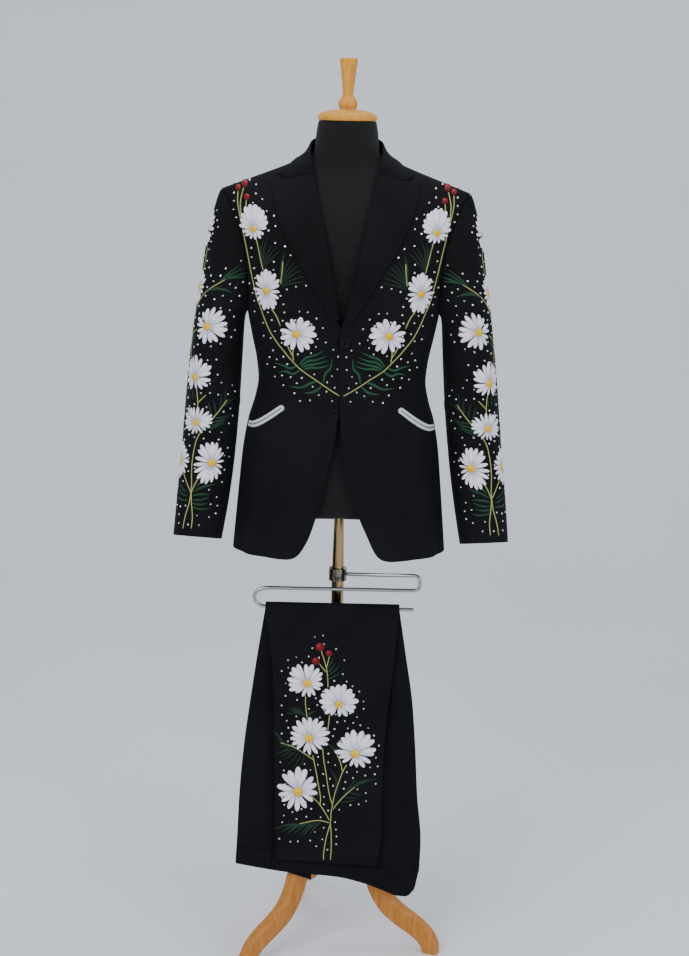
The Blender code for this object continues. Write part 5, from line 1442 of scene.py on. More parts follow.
def torso_form(name, finish):
    """Limbless torso: the jacket's surface less a clearance at each height, blended to the neck."""
    rows = np.array(FORM_ROWS)
    heights = np.interp(np.linspace(0, len(rows) - 1, 4 * (len(rows) - 1) + 1), np.arange(len(rows)), rows)
    turns = around(128)
    way_x, way_y = np.cos(turns)[None, :], np.sin(turns)[None, :]
    nearness = ramp(FORM_CLEAR_FROM, FORM_CLEAR_TO, heights)
    clear = FORM_CLEAR_LOW + (FORM_CLEAR_HIGH - FORM_CLEAR_LOW) * nearness
    z = np.broadcast_to((heights + clear * nearness)[:, None], (len(heights), len(turns)))
    wall = halved(np.zeros(z.shape), np.full(z.shape, FORM_WIDEST),
                  lambda far: inside_body(far * way_x, far * way_y, z) < 1.0, 24)
    torso = np.maximum(wall - clear[:, None], 0.0)
    neck = read(NECK, "radius", heights)[:, None]
    neck = np.where(heights[:, None] < NECK["height"][0], 0.0, neck)
    radius = 0.5 * (torso + neck + np.sqrt((torso - neck) ** 2 + FORM_BLEND ** 2)) - FORM_BLEND / 4
    radius = np.where(neck > 0, radius, torso)
    foot = np.clip(1.0 - (heights - heights[0]) / FORM_FOOT, 0.0, 1.0)
    radius = radius * (1.0 - FORM_FOOT_IN * foot ** 2)[:, None]
    grid = np.stack([radius * way_x, radius * way_y,
                     np.broadcast_to(heights[:, None], radius.shape)], axis=-1)
    return tube_piece(name, grid, finish)


def rod(name, path, radius, finish):
    """Round rod: a circle carried along the path, whose corners are averaged out, with rounded ends."""
    path = np.array(path, dtype=float)
    far = walked(path, 0)
    even = np.arange(-BEND_STEPS, int(far[-1] / ROD_STEP) + BEND_STEPS + 1) * ROD_STEP
    line = np.stack([np.interp(even, far, path[:, axis]) for axis in range(3)], axis=-1)
    line[:BEND_STEPS] += (path[1] - path[0]) / far[1] * even[:BEND_STEPS, None]
    line[-BEND_STEPS:] += unit(path[-1] - path[-2]) * np.maximum(even[-BEND_STEPS:] - far[-1], 0.0)[:, None]
    window = np.hanning(2 * BEND_STEPS + 3)[1:-1]
    window = window / window.sum()
    line = np.stack([np.convolve(line[:, axis], window, mode="valid") for axis in range(3)], axis=-1)
    along = unit(np.gradient(line, axis=0))
    side = unit(np.cross(along, np.array([0.0, 1.0, 0.0])))
    other = np.cross(along, side)
    turns = around(24)[None, :, None]
    far = np.minimum(walked(line, 0), walked(line, 0)[-1] - walked(line, 0))
    size = radius * (1.0 - 0.35 * np.clip(1.0 - far / ROD_END, 0.0, 1.0) ** 2)[:, None, None]
    ring = line[:, None] + size * (side[:, None] * np.cos(turns) + other[:, None] * np.sin(turns))
    return tube_piece(name, ring, finish)


def stand_leg(turn, name, finish):
    """Curved leg in an upright plane: a rounded oblong section carried along the leg's line."""
    at = np.linspace(0.0, len(LEG["out"]) - 1.0, 97)
    path = spline(np.stack([LEG["out"], LEG["height"]], axis=-1), at)
    path[:, 1] = np.maximum(path[:, 1], 0.0)
    path[-1] = (LEG["out"][-1], 0.0)
    along = unit(np.gradient(path, axis=0))
    along[-1] = (0.0, -1.0)
    across = np.stack([-along[:, 1], along[:, 0]], axis=-1)
    half, thick = stepped(LEG["half"], at)[:, None], stepped(LEG["thick"], at)[:, None]
    turns = around(48)[None, :]
    a = half * signed_power(np.cos(turns), LEG_ROUNDNESS)
    b = thick * signed_power(np.sin(turns), LEG_ROUNDNESS)
    out = path[:, :1] + across[:, :1] * a
    up = np.maximum(path[:, 1:] + across[:, 1:] * a, 0.0)
    angle = math.radians(turn)
    ring = np.stack([out * math.cos(angle) - b * math.sin(angle),
                     out * math.sin(angle) + b * math.cos(angle), up], axis=-1)
    return tube_piece(name, ring, finish)


# The trousers' surface


def hung(x, z, radius, creases, facing):
    """Y of the cloth at (x, z), a radius away from the bar's middle; facing is -1 on the near side."""
    ripple = crease_height(creases, x, z) * ramp(BAR_Z, BAR_Z - RIPPLE_FROM, z)
    return BAR_Y + facing * (radius + ripple) - (BAR_Z - z) * LEAN


def trouser_line(radius, part, share, turn, width_shares, aside=0.0):
    """Points across one station: distance from the bar, side of the bar, share down it, turn over it."""
    hem = NEAR_HEM_LEFT + (NEAR_HEM_RIGHT - NEAR_HEM_LEFT) * width_shares
    z = np.full(width_shares.shape, BAR_Z)
    if part == "near":
        z = hem + (BAR_Z - hem) * share
        left, right = read(NEAR, "left", z), read(NEAR, "right", z)
        x = left + (right - left) * width_shares
        y = hung(x, z, radius, NEAR_CREASES, -1)
    elif part == "over":
        x = NEAR["left"][-1] + (NEAR["right"][-1] - NEAR["left"][-1]) * width_shares
        z = BAR_Z + radius * math.sin(math.radians(turn))
        y = BAR_Y - radius * math.cos(math.radians(turn))
    else:
        for _ in range(60):
            left, right = read(REAR, "left", z), read(REAR, "right", z)
            x = left + (right - left) * width_shares
            z = 0.5 * z + 0.5 * (BAR_Z + (read(WAIST_EDGE, "height", x) - BAR_Z) * share)
        y = hung(x, z, radius, REAR_CREASES, 1)
    return np.stack([x + aside, y, z], axis=-1)


def fine_stations():
    """Stations from the near hem over the bar to the waist, crowded at both ends."""
    steps = np.array(EDGE_STEPS)
    hem = 0.5 * (NEAR_HEM_LEFT + NEAR_HEM_RIGHT)
    near = np.concatenate([steps / (BAR_Z - hem), np.linspace(0.008, 1.0, 60)[:-1]])
    rear = np.concatenate([np.linspace(0.0, 0.992, 60)[1:], 1.0 - steps[::-1] / REAR_LENGTH])
    return ([("near", share, 0.0) for share in near]
            + [("over", 0.0, turn) for turn in np.linspace(0.0, 180.0, 25)]
            + [("rear", share, 180.0) for share in rear])


def trouser_leg(middle, name, finish, outside):
    """One leg pressed flat: a long flattened tube whose side folds are the creases, a wall all round it."""
    flat = np.linspace(0.004, 0.996, 72)
    bend = np.linspace(0.0, math.pi, 9)[1:-1]
    shares = np.concatenate([flat, np.ones(len(bend)), flat[::-1], np.zeros(len(bend))])
    up = np.concatenate([np.ones(len(flat)), np.cos(bend), -np.ones(len(flat)), -np.cos(bend)])
    side = np.concatenate([np.zeros(len(flat)), np.sin(bend), np.zeros(len(flat)), -np.sin(bend)])
    seam = OUTSEAM_SINK * np.exp(-((shares - OUTSEAM) / OUTSEAM_WIDE) ** 2) * (up * outside > 0.5)

    def loop(thick):
        radius = middle + up * thick - seam * outside
        return np.array([trouser_line(radius, *station, shares, side * thick) for station in fine_stations()])

    return cloth_shell(name, loop(LEG_HALF), loop(LEG_HALF - LEG_WALL), finish, LEG_WALL,
                       share=0.42, tube=True)


def trouser_patch(low, high, first, last, steps, name, finish, count):
    """Flat piece on the hip: waistband, welt or belt loop, with rounded edges."""
    shares = first + (last - first) * edge_shares((last - first) * HIP_WIDTH, count)
    rows = steps[0] + (steps[-1] - steps[0]) * edge_shares(abs(steps[-1] - steps[0]) * HIP_DEPTH, 10)
    outer, inner = (np.array([trouser_line(np.full(shares.shape, radius), "rear", share, 180.0, shares)
                              for share in rows]) for radius in (high, low))
    return cloth_shell(name, outer, inner, finish, radius=0.0012)


def pocket_bag(low, high, name, finish):
    """Corner of the pocket bag that shows below the waist edge."""
    x = np.linspace(POCKET_BAG["x"][0], POCKET_BAG["x"][-1], 30)
    top = read(WAIST_EDGE, "height", x) - GAP
    z = top - read(POCKET_BAG, "drop", x) * np.linspace(0.0, 1.0, 14)[:, None]
    grid = np.stack([np.broadcast_to(x, z.shape), BAR_Y - (BAR_Z - z) * LEAN, z], axis=-1)
    outer, inner = (grid + np.array([0.0, depth, 0.0]) for depth in (high, low))
    return cloth_shell(name, outer, inner, finish, radius=0.0008)


# Embroidery: a chart is flat, and a place carries its points to the cloth


def chest_place(side):
    """Chest chart to cloth: distance from the middle and height, kept off the armhole seam."""
    def place(flat):
        x, z = flat[..., 0], flat[..., 1]
        v = row_of_height(x, z)
        theta = np.minimum(theta_of_x(x, v), armhole_theta(v, "front") - CHART_OFF_SEAM)
        point, normal = body_cloth(theta, v, side, front=True)
        return point * mirror(side), normal * mirror(side)
    return place


def sleeve_place(side):
    """Sleeve chart to cloth: distance round from the outer line toward the front, and height."""
    phi = np.linspace(0.0, 2 * math.pi, 289)
    outer, _, aside = sleeve_cloth(phi)
    outer = outer * mirror(side) + aside
    heights = np.arange(*CHART_HEIGHTS)
    level = np.stack([np.stack([np.interp(heights, outer[::-1, k, 2], outer[::-1, k, axis])
                                for k in range(len(phi))], axis=1) for axis in range(3)], axis=-1)
    level[..., 2] = np.maximum(level[..., 2], heights[:, None])
    far = walked(level, 1)
    round_front = far[:, len(phi) // 2][:, None] - far
    reach = np.arange(*CHART_REACH)
    chart = np.stack([np.stack([np.interp(reach, round_front[row, ::-1], level[row, ::-1, axis])
                                for row in range(len(heights))], axis=0) for axis in range(3)], axis=-1)
    normal = unit(np.cross(np.gradient(chart, axis=0), np.gradient(chart, axis=1))) * side

    def place(flat):
        a = np.clip((flat[..., 0] - reach[0]) / CHART_REACH[2], 0.0, len(reach) - 1.001)
        b = np.clip((flat[..., 1] - heights[0]) / CHART_HEIGHTS[2], 0.0, len(heights) - 1.001)
        i, j = b.astype(int), a.astype(int)
        fb, fa = (b - i)[..., None], (a - j)[..., None]
        found = []
        for field in (chart, normal):
            low = field[i, j] * (1 - fa) + field[i, j + 1] * fa
            high = field[i + 1, j] * (1 - fa) + field[i + 1, j + 1] * fa
            found.append(low * (1 - fb) + high * fb)
        return found[0], unit(found[1])
    return place


def trouser_place(flat):
    """Trouser chart to cloth: across and height on the near side's outer face."""
    x, z = flat[..., 0], flat[..., 1]
    normal = np.broadcast_to(unit(np.array([0.0, -1.0, LEAN])), (*x.shape, 3))
    return np.stack([x, hung(x, z, TROUSERS_OUTSIDE, NEAR_CREASES, -1), z], axis=-1), normal


def mixed(first, second, share):
    """Linear blend of two hex colours."""
    a, b = np.array(linear(first)), np.array(linear(second))
    return a + (b - a) * np.clip(np.asarray(share), 0.0, 1.0)[..., None]


def strands(place, path, half, high, colour, lie=0.0):
    """Raised strands in the cloth's chart: each path carries a half ellipse with a flat underside."""
    along = np.gradient(path, axis=1)
    way = unit(np.stack([-along[..., 1], along[..., 0]], axis=-1))
    flat = path[:, :, None] + way[:, :, None] * (half[..., None] * ACROSS)[..., None]
    point, normal = place(flat)
    lift = high[..., None] * RISE + np.where(RISE > 0.01, lie, -SINK)
    points = point + normal * lift[..., None]
    count, rows, columns = points.shape[:3]
    faces = copied_faces(count, rows * columns, tube_faces(rows, columns))
    reach = walked(path, 1)
    own = np.arange(count)[:, None, None] * 0.037
    uv = np.stack(np.broadcast_arrays(half[..., None] * ACROSS + own, reach[..., None]), axis=-1)
    colour = np.broadcast_to(colour, points.shape)
    return points.reshape(-1, 3), faces, uv.reshape(-1, 2), colour.reshape(-1, 3), path.reshape(-1, 2)


def domes(place, centre, radius, high, colour, rough=0.0, seed=1):
    """Round raised knots: height falls off as a half ellipse from the middle; small bumps break it up."""
    dice = np.random.default_rng(seed)
    size = radius[:, None, None]
    a = centre[:, 0][:, None, None] + size * DOME_SHARE * np.cos(DOME_TURN)
    b = centre[:, 1][:, None, None] + size * DOME_SHARE * np.sin(DOME_TURN)
    lift = high[:, None, None] * np.sqrt(np.clip(1.02 - DOME_SHARE ** 2, 0.0, 1.0)) + 0.0 * DOME_TURN
    lift = lift + dice.uniform(-rough, rough, lift.shape) * (DOME_SHARE < 0.97)
    lift = np.where(DOME_SHARE > 0.99, -SINK, lift)
    point, normal = place(np.stack([a, b], axis=-1))
    points = point + normal * lift[..., None]
    count, rings, sides = a.shape
    faces = copied_faces(count, rings * sides, tube_faces(rings, sides))
    uv = np.stack([a, b], axis=-1).reshape(-1, 2)
    colour = np.broadcast_to(colour, points.shape)
    return points.reshape(-1, 3), faces, uv, colour.reshape(-1, 3), centre


def daisy(place, x, z, yolk_x, yolk_z, half_x, half_z, petals, turn, fill):
    """Daisy: round-tipped petals from the yolk to an ellipse, every other one higher, and a knotted yolk."""
    count = int(petals)
    dice = np.random.default_rng(int(turn * 31 + petals))
    k = np.arange(count)
    angle = np.radians(turn) + (k + dice.uniform(-0.16, 0.16, count)) * 2 * math.pi / count
    reach = dice.uniform(0.90, 1.05, count)
    tip = np.stack([x + half_x * np.cos(angle) * reach, z + half_z * np.sin(angle) * reach], axis=-1)
    yolk = np.array([yolk_x, yolk_z])
    t = np.concatenate([np.linspace(0.0, 0.86, 9), (0.91, 0.95, 0.98, 1.0)])[None, :]
    side = np.stack([-(tip - yolk)[:, 1], (tip - yolk)[:, 0]], axis=-1)
    bow = dice.uniform(-0.05, 0.05, count)[:, None]
    path = yolk + (tip - yolk)[:, None] * t[..., None]
    path = path + side[:, None] * (bow * np.sin(math.pi * t))[..., None]
    length = np.linalg.norm(tip - yolk, axis=-1)[:, None]
    wide = fill * 0.72 * length * 2 * math.pi / count * dice.uniform(0.90, 1.08, count)[:, None]
    swell = np.where(t < PETAL_BROADEST, 0.30 + 0.70 * ramp(0.0, PETAL_BROADEST, t),
                     np.sqrt(np.clip(1.0 - (np.maximum(t - PETAL_BROADEST, 0.0) / 0.345) ** 2.3, 0.0, 1.0)))
    half = wide * np.maximum(swell, 0.05)
    high = 0.0006 * np.maximum(swell, 0.10) + 0.0002
    upper = k % 2 == 0
    shade = 0.30 + 0.70 * ramp(0.08, 0.60, t)[..., None] - 0.50 * np.abs(ACROSS)[None, None, :] ** 4
    shade = shade * np.where(upper, 1.0, 0.86)[:, None, None] * dice.uniform(0.88, 1.0, count)[:, None, None]
    colour = mixed("#8f8bb2", "#faf8ff", shade)
    petal_set = strands(place, path, half, np.broadcast_to(high, half.shape), colour,
                        lie=np.where(upper, *PETAL_LEVELS)[:, None, None])
    speck = dice.uniform(0.0, 1.0, (1, DOME_SHARE.size, DOME_TURN.size))
    side_shade = 0.5 - 0.5 * np.sin(DOME_TURN)
    tone = mixed("#ffd320", "#c08019", (0.80 * speck ** 3 + 0.28 * side_shade) * (DOME_SHARE < 0.85))
    tone = np.where((DOME_SHARE > 0.84)[..., None], mixed("#d9b02a", "#8f9432", 0.65), tone)
    size = np.array([YOLK_SHARE * (half_x + half_z)])
    knot = domes(place, yolk[None], size, np.array([YOLK_HIGH]), tone, YOLK_ROUGH, count)
    return [petal_set, knot]


def stem(place, line):
    """Stem: a half round cord along a smooth curve through the table's points, with a painted highlight along its top
    and painted shade at its sides.
    """
    far = walked(line, 0)[-1]
    path = spline(line, np.linspace(0, len(line) - 1, max(6, int(far / 0.003))))[None]
    t = np.linspace(0.0, 1.0, path.shape[1])[None, :]
    half = STEM_HALF * (1.0 - 0.35 * np.clip(1.0 - np.minimum(t, 1.0 - t) * far / 0.004, 0.0, 1.0) ** 2)
    # Pale olive on the crest is painted highlight, dark olive at the sides painted shade.
    colour = mixed("#aeb168", "#566030", np.abs(ACROSS) ** 2)[None, None]
    return strands(place, path, half, 0.8 * half, colour)


def leaf_strands(place, path, pale):
    """Pointed leaves along given paths: broadest a little before the middle, lighter along the middle of each leaf."""
    t = np.linspace(0.0, 1.0, path.shape[1])[None, :]
    half = LEAF_HALF * (0.82 + 0.75 * pale) * (0.08 + 0.92 * np.sin(math.pi * t ** 0.75) ** 0.8)
    half = np.broadcast_to(half, path.shape[:2])
    light = np.exp(-(ACROSS / 0.42) ** 2)[None, None, :] * (0.50 + 0.50 * pale)
    rim, middle_green = mixed("#0a1711", "#0f2b1e", pale), mixed("#11301f", "#1f5f39", pale)
    return strands(place, path, half, 0.45 * half, rim + (middle_green - rim) * light[..., None])


def leaf_fan(place, x0, z0, x1, z1, length, turn0, turn1, bend, count, pale):
    """Fan of needle leaves: their feet and directions step evenly, each bends like an arc."""
    dice = np.random.default_rng(int(1e4 * abs(x0 + z0)))
    k = np.linspace(0.0, 1.0, int(count))
    foot = np.stack([x0 + (x1 - x0) * k, z0 + (z1 - z0) * k], axis=-1)
    angle = np.radians(turn0 + (turn1 - turn0) * k + dice.uniform(-4, 4, len(k)))
    long = length * dice.uniform(0.78, 1.06, len(k))
    t = np.linspace(0.0, 1.0, 12)[None, :]
    curve = np.radians(bend) * (t - 0.5) * 1.6
    step = np.stack([np.cos(angle[:, None] + curve), np.sin(angle[:, None] + curve)], axis=-1)
    step = step * (long / 11)[:, None, None]
    return leaf_strands(place, foot[:, None] + np.cumsum(step, axis=1) - step[:, :1], pale)


def leaf_sprig(place, lines):
    """Single leaves along smooth curves through the table's points."""
    path = np.stack([spline(line, np.linspace(0.0, len(line) - 1, 16)) for line in lines])
    return leaf_strands(place, path, SPRIG_PALE)


def berry_set(place, berries):
    """Berries: small smooth domes, red with a painted highlight high on one side."""
    centre = np.stack([berries["x"], berries["z"]], axis=-1)
    # Painted highlight: a lighter red spot high on one side of each berry.
    spot = np.exp(-((DOME_SHARE * np.cos(DOME_TURN) + 0.30) ** 2
                    + (DOME_SHARE * np.sin(DOME_TURN) - 0.35) ** 2) / 0.10)
    colour = mixed("#6a0a10", "#c02a30", spot * 0.9)
    return domes(place, centre, berries["radius"], berries["radius"] * 0.42, colour)


def stones(place, marks, box, allowed, seed):
    """Faceted stones, thrown at random near the motifs and kept apart from them and from each other."""
    dice = np.random.default_rng(seed)
    thrown = dice.uniform((box[0], box[2]), (box[1], box[3]), (6000, 2))
    away = np.min(np.linalg.norm(thrown[:, None] - marks[None], axis=-1), axis=1)
    thrown = thrown[(away > STONE_NEAR) & (away < STONE_FAR) & allowed(thrown)]
    spots = thrown[:1]
    for spot in thrown[1:]:
        if np.min(np.linalg.norm(spots - spot, axis=1)) > STONE_APART:
            spots = np.concatenate([spots, spot[None]])
    sides = 8
    spin = dice.uniform(0.0, math.pi, len(spots))[:, None, None]
    size = np.array((1.0, 1.0, 0.60))[None, :, None] * STONE_RADIUS
    size = size * dice.uniform(0.82, 1.06, len(spots))[:, None, None]
    turns = around(sides) + np.array((0.0, 0.0, math.pi / sides))[None, :, None] + spin
    a = spots[:, 0][:, None, None] + size * np.cos(turns)
    b = spots[:, 1][:, None, None] + size * np.sin(turns)
    lift = np.broadcast_to(np.array((-SINK, 0.0006, 0.0014))[None, :, None], a.shape)
    flat = np.stack([a, b], axis=-1)
    point, normal = place(flat)
    points = (point + normal * lift[..., None]).reshape(-1, 3)
    number = np.arange(3 * sides).reshape(3, sides)
    ahead = np.roll(number, -1, axis=1)
    kite = np.concatenate([np.stack([number[1], ahead[1], number[2]], axis=1),
                           np.stack([ahead[1], ahead[2], number[2]], axis=1)])
    wall = np.stack([number[0], ahead[0], ahead[1], number[1]], axis=1)
    faces = copied_faces(len(spots), 3 * sides, (wall, kite, number[:1, ::-1], number[2:]))
    return points, faces, flat.reshape(-1, 2), np.full((len(points), 3), 0.8), spots


def joined(name, parts, finish, flat=False):
    """One mesh from many parts; each part's faces are turned outward before they are joined."""
    faces, start = {}, 0
    for points, own_faces, _, _, _ in parts:
        for group in outward(points, own_faces):
            faces.setdefault(group.shape[1], []).append(group + start)
        start += len(points)
    groups = [np.concatenate(group) for group in faces.values()]
    points, uv, colours = (np.concatenate([part[k] for part in parts]) for k in (0, 2, 3))
    return add_piece(name, points, groups, finish, uv, colours, flat=flat)


def embroider(name, place, area, allowed, thread, glass):
    """All motifs of one area on its cloth: leaves first, then stems, daisies and berries, and the stones."""
    parts = [leaf_fan(place, *row) for row in zip(*area["leaves"].values())]
    parts += [leaf_sprig(place, area["sprigs"])] if "sprigs" in area else []
    parts += [stem(place, line) for line in area["stems"]]
    for row in zip(*area["daisies"].values()):
        parts += daisy(place, *row)
    marks = [part[4] for part in parts]
    if "berries" in area:
        parts.append(berry_set(place, area["berries"]))
        centre, radius = parts[-1][4], area["berries"]["radius"]
        reach = radius[:, None, None] * np.array(((1, 0), (-1, 0), (0, 1), (0, -1)))
        marks += [centre, (centre[:, None] + reach).reshape(-1, 2)]
    threads = joined(name + "_embroidery", parts, thread)
    jewels = stones(place, np.concatenate(marks), area["box"], allowed, area["seed"])
    return threads, joined(name + "_stones", [jewels], glass, flat=True)


# The pieces


def dress_stand():
    """Form, cap, finial, pole, clamp, bar, hub and legs."""
    # The legs and hub take the same beech in darker colours.
    wood = wood_finish("varnished_beech")
    leg_wood = wood_finish("darker_beech", "#ab6b2a", "#b97935", "#c58541")
    brass = brass_finish("antique_brass")
    form = stands_for(torso_form("padded_form", jersey_finish("cotton_jersey")), "form_jersey", "torso_form")
    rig.padded(form, fill=1.0)
    knob = spline(FINIAL[1:-1], np.linspace(0, len(FINIAL) - 3, 70))
    knob = np.concatenate([FINIAL[:1], knob, FINIAL[-1:]])
    dark, grey = brass_finish("dark_bronze", "#3b332b"), brass_finish("grey_brass", "#8c857a")
    for name, profile, finish, slot, node in (
            ("cap_turned", cut_corners(CAP), wood, "pale_wood", "neck_cap"),
            ("finial_turned", knob, wood, "pale_wood", "finial"),
            ("hub_turned", cut_corners(HUB), leg_wood, "pale_wood", "hub"),
            ("socket_turned", cut_corners(SOCKET), dark, "old_brass", "socket"),
            ("pole_tube", cut_corners(POLE, 1), brass, "old_brass", "pole"),
            ("clamp_ring", CLAMP, grey, "old_brass", "clamp_collar")):
        stands_for(turned_piece(name, profile, finish), slot, node)
    bar = rod("bar_rod", ROD_PATH, ROD_RADIUS, steel_finish("drawn_steel"))
    stands_for(bar, "bright_steel", "trouser_bar")
    for number, turn in enumerate(LEG_TURNS, 1):
        stands_for(stand_leg(turn, "curved_leg_%d" % number, leg_wood), "pale_wood", "leg_%d" % number)


def dress_jacket():
    """Panels, sleeves, lapels and collar, each with its flat size, then the piping and the buttons."""
    wool = wool_finish("worsted_wool")
    sheets = []

    def sheet(piece, node, size, area):
        sheets.append((stands_for(piece, "suit_cloth", node), size, area))

    for side, word, edge in ((1, "left", OVER_EDGE), (-1, "right", UNDER_EDGE)):
        sheet(front_panel(side, edge, "front_" + word, wool), "jacket_front_" + word, (0.262, 0.760), 0.158)
    for side, word in SIDES:
        sheet(side_panel(side, "side_" + word, wool), "jacket_side_" + word, (0.115, 0.455), 0.045)
        sheet(back_panel(side, "back_" + word, wool), "jacket_back_" + word, (0.235, 0.755), 0.150)
        sheet(sleeve_piece(side, SLEEVE_FRONT_SEAM, SLEEVE_BACK_SEAM, "upper_sleeve_" + word, wool),
              "sleeve_upper_" + word, (0.300, 0.640), 0.150)
        sheet(sleeve_piece(side, SLEEVE_BACK_SEAM, SLEEVE_FRONT_SEAM, "under_sleeve_" + word, wool),
              "sleeve_under_" + word, (0.150, 0.450), 0.060)
    sheet(lapel(1, OVER_EDGE, 0, "lapel_on_left", wool), "lapel_left", (0.105, 0.285), 0.020)
    sheet(lapel(-1, UNDER_EDGE, UNDER_LAPEL_FROM, "lapel_on_right", wool), "lapel_right",
          (0.105, 0.270), 0.019)
    sheet(collar_fall("collar_outside", wool), "collar_fall", (0.430, 0.056), 0.023)
    sheet(collar_stand("collar_inside", wool), "collar_stand", (0.370, 0.030), 0.0092)
    for piece, size, area in sheets:
        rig.sheet(piece, flat=size, held="draped", rests_on=["padded_form"], area=area)
    cord = satin_cord_finish("white_satin_cord")
    horn = button_finish("polished_polyester")
    for side, word in SIDES:
        stands_for(pocket_cords(side, "pocket_cord_" + word, cord), "piping_cord", "pocket_piping_" + word)
    stands_for(button(1, BUTTON_UPPER, "button_fastened", horn), "button_horn", "button_upper")
    stands_for(button(-1, BUTTON_LOWER, "button_open", horn), "button_horn", "button_lower")


def dress_trousers():
    """Both legs over the bar, and on each side of the waist its band, welt and belt loops."""
    wool = wool_finish("worsted_wool_trousers", "#101012")
    sheets = []

    def sheet(piece, nodes, size, area, slot="suit_cloth"):
        sheets.append((stands_for(piece, slot, *nodes), size, area))

    sheet(trouser_leg(RIGHT_LEG_AT, "trouser_leg_right", wool, 1.0),
          ("trouser_right_front", "trouser_right_back"), (0.690, 1.080), 0.560)
    sheet(trouser_leg(LEFT_LEG_AT, "trouser_leg_left", wool, -1.0),
          ("trouser_left_front", "trouser_left_back", "trouser_inner_layers"), (0.690, 1.080), 0.560)
    inside = ROD_RADIUS + GAP
    for word, start, way in (("left", inside, -1), ("right", TROUSERS_OUTSIDE, 1)):
        band = sorted(start + way * far for far in (GAP, GAP + WAISTBAND_CLOTH))
        loops = sorted(start + way * (2 * GAP + WAISTBAND_CLOTH + far) for far in (0.0, BELT_LOOP_CLOTH))
        sheet(trouser_patch(*band, 0.0, 1.0, WAISTBAND_STEPS, "waistband_cloth_" + word, wool, 60),
              ("waistband_" + word,), (0.355, 0.038), 0.0125)
        sheet(trouser_patch(*band, *WELT_SPAN, WELT_STEPS, "welt_cloth_" + word, wool, 20),
              ("back_pocket_welt_" + word,), (0.106, 0.0118), 0.0012)
        for number, middle in enumerate(BELT_LOOPS, 1):
            sheet(trouser_patch(*loops, middle - BELT_LOOP_HALF, middle + BELT_LOOP_HALF, BELT_LOOP_STEPS,
                                "belt_loop_cloth_%s_%d" % (word, number), wool, 5),
                  ("belt_loop_%s_%d" % (word, number),), (0.0105, 0.039), 0.0004)
    bag = inside + TROUSER_CLOTH + 2 * GAP
    sheet(pocket_bag(bag, bag + POCKET_BAG_CLOTH, "pocket_bag_cloth", lining_finish("cotton_pocketing")),
          ("pocket_bag_corner",), (0.046, 0.0125), 0.00035, "lining")
    for piece, size, area in sheets:
        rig.sheet(piece, flat=size, held="folded", rests_on=["bar_rod"], area=area)


def dress_embroidery():
    """Thread and stones on both fronts, both sleeves and the trousers."""
    thread = thread_finish("rayon_thread")
    glass = crystal_finish("foil_backed_glass")

    def on_front(flat):
        lapel_edge = np.interp(flat[:, 1], LAPEL["edge_z"], LAPEL["edge_x"])
        beside = (flat[:, 1] > LAPEL_BESIDE[0]) & (flat[:, 1] < LAPEL_BESIDE[1])
        v = row_of_height(flat[:, 0], flat[:, 1])
        return ((flat[:, 0] > np.where(beside, lapel_edge + 0.004, 0.006))
                & (theta_of_x(flat[:, 0], v) < armhole_theta(v, "front") - 0.03))

    charts = []
    for side, word in SIDES:
        charts += [("chest_" + word, chest_place(side), CHEST, on_front),
                   ("sleeve_" + word, sleeve_place(side), SLEEVE_CHART, lambda flat: flat[:, 0] > -0.045)]
    charts.append(("bouquet", trouser_place, BOUQUET, lambda flat: np.abs(flat[:, 0] + 0.008) < 0.096))
    for chart in charts:
        for piece in embroider(*chart, thread, glass):
            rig.slot(piece, "suit_cloth")


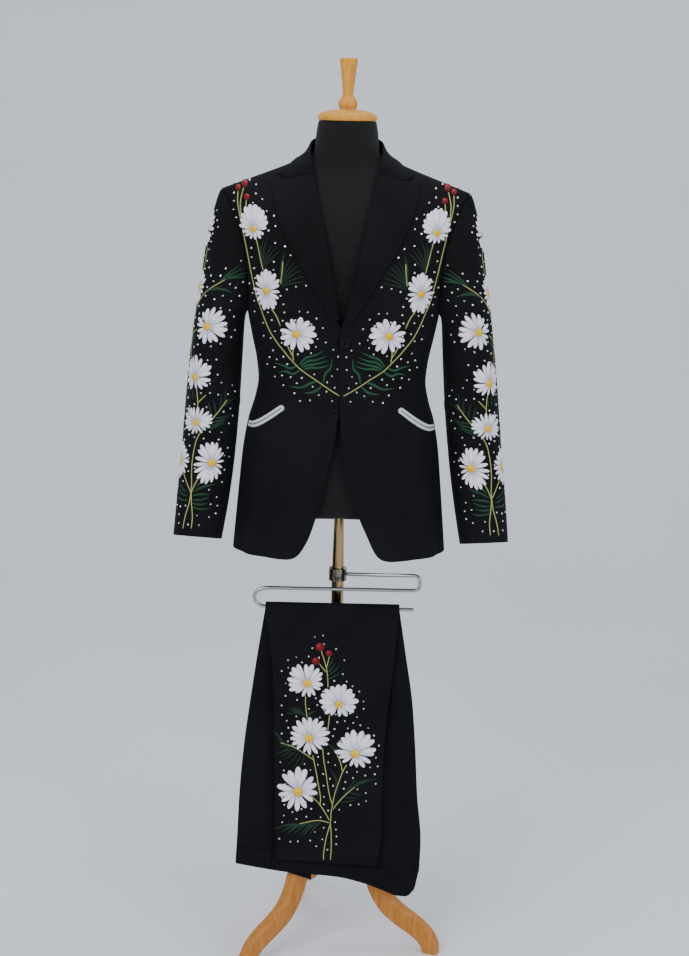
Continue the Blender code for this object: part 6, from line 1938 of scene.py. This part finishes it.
def backdrop():
    """Seamless paper: a floor that curves up into a wall behind, pale blue grey and matt."""
    turn = np.linspace(0.0, math.pi / 2, 24)
    y = np.concatenate([[-7.0, 0.0], 2.4 + 1.6 * np.sin(turn), [4.0]])
    z = np.concatenate([[0.0, 0.0], 1.6 - 1.6 * np.cos(turn), [7.0]])
    x = np.linspace(-9.0, 9.0, 5)
    grid = np.stack(np.broadcast_arrays(x[None, :], y[:, None], z[:, None]), axis=-1)
    paper, tree, shader = finish_of("seamless_paper", "#e2e6eb", Roughness=0.95)
    tone = ramp_node(tree, noise(tree, place_in(tree), 1.2, 2.0), (0.35, "#e2e6eb"), (0.65, "#e6eaef"))
    tree.links.new(tone, shader.inputs["Base Color"])
    mesh = bpy.data.meshes.new("backdrop")
    mesh.from_pydata(grid.reshape(-1, 3).tolist(), [], grid_faces(*grid.shape[:2]).tolist())
    mesh.polygons.foreach_set("use_smooth", np.ones(len(mesh.polygons), dtype=bool))
    mesh.materials.append(paper)
    made = bpy.data.objects.new("backdrop", mesh)
    bpy.context.scene.collection.objects.link(made)
    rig.stage(made)


def area_light(name, place, target, size, power):
    """Rectangular light at a place, turned to a target."""
    data = bpy.data.lights.new(name, "AREA")
    data.shape = "RECTANGLE"
    data.size, data.size_y = size
    data.energy = power
    made = bpy.data.objects.new(name, data)
    bpy.context.scene.collection.objects.link(made)
    way = unit(np.array(target) - np.array(place))
    right = unit(np.cross(way, (0.0, 0.0, 1.0)))
    matrix = Matrix(np.column_stack([right, np.cross(right, way), -way]).tolist()).to_4x4()
    matrix.translation = place
    made.matrix_world = matrix


def light_and_camera():
    """Large soft lights in front and above, an even pale surrounding, and the photograph's viewpoint."""
    world = bpy.data.worlds.new("studio")
    world.use_nodes = True
    sky = world.node_tree.nodes["Background"]
    sky.inputs["Color"].default_value = (*linear("#dde3ec"), 1.0)
    sky.inputs["Strength"].default_value = 0.74
    bpy.context.scene.world = world
    area_light("key", (-2.2, -3.4, 3.4), (0.0, 0.0, 1.0), (2.6, 2.0), 106)
    area_light("fill", (2.8, -2.8, 2.2), (0.0, 0.0, 0.9), (2.4, 2.4), 56)
    area_light("top", (0.2, 0.4, 4.2), (0.0, 0.0, 0.8), (3.0, 2.4), 60)
    data = bpy.data.cameras.new("camera")
    data.sensor_width = 36.0
    data.lens = 63.19
    made = bpy.data.objects.new("camera", data)
    bpy.context.scene.collection.objects.link(made)
    turn = Matrix.Rotation(math.radians(77.0), 4, "X") @ Matrix.Rotation(math.radians(1.27), 4, "Z")
    made.location = (0.0047, -3.1305, 1.66)
    made.rotation_euler = turn.to_euler()
    bpy.context.scene.camera = made


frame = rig.load()
cad_box = [list(corner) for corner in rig.bounds()]
dress_stand()
dress_jacket()
dress_trousers()
dress_embroidery()
backdrop()
light_and_camera()
visual_box = [list(corner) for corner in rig.bounds()]
with open("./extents.json", "w") as out:
    json.dump({"cad": cad_box, "visual": visual_box}, out)
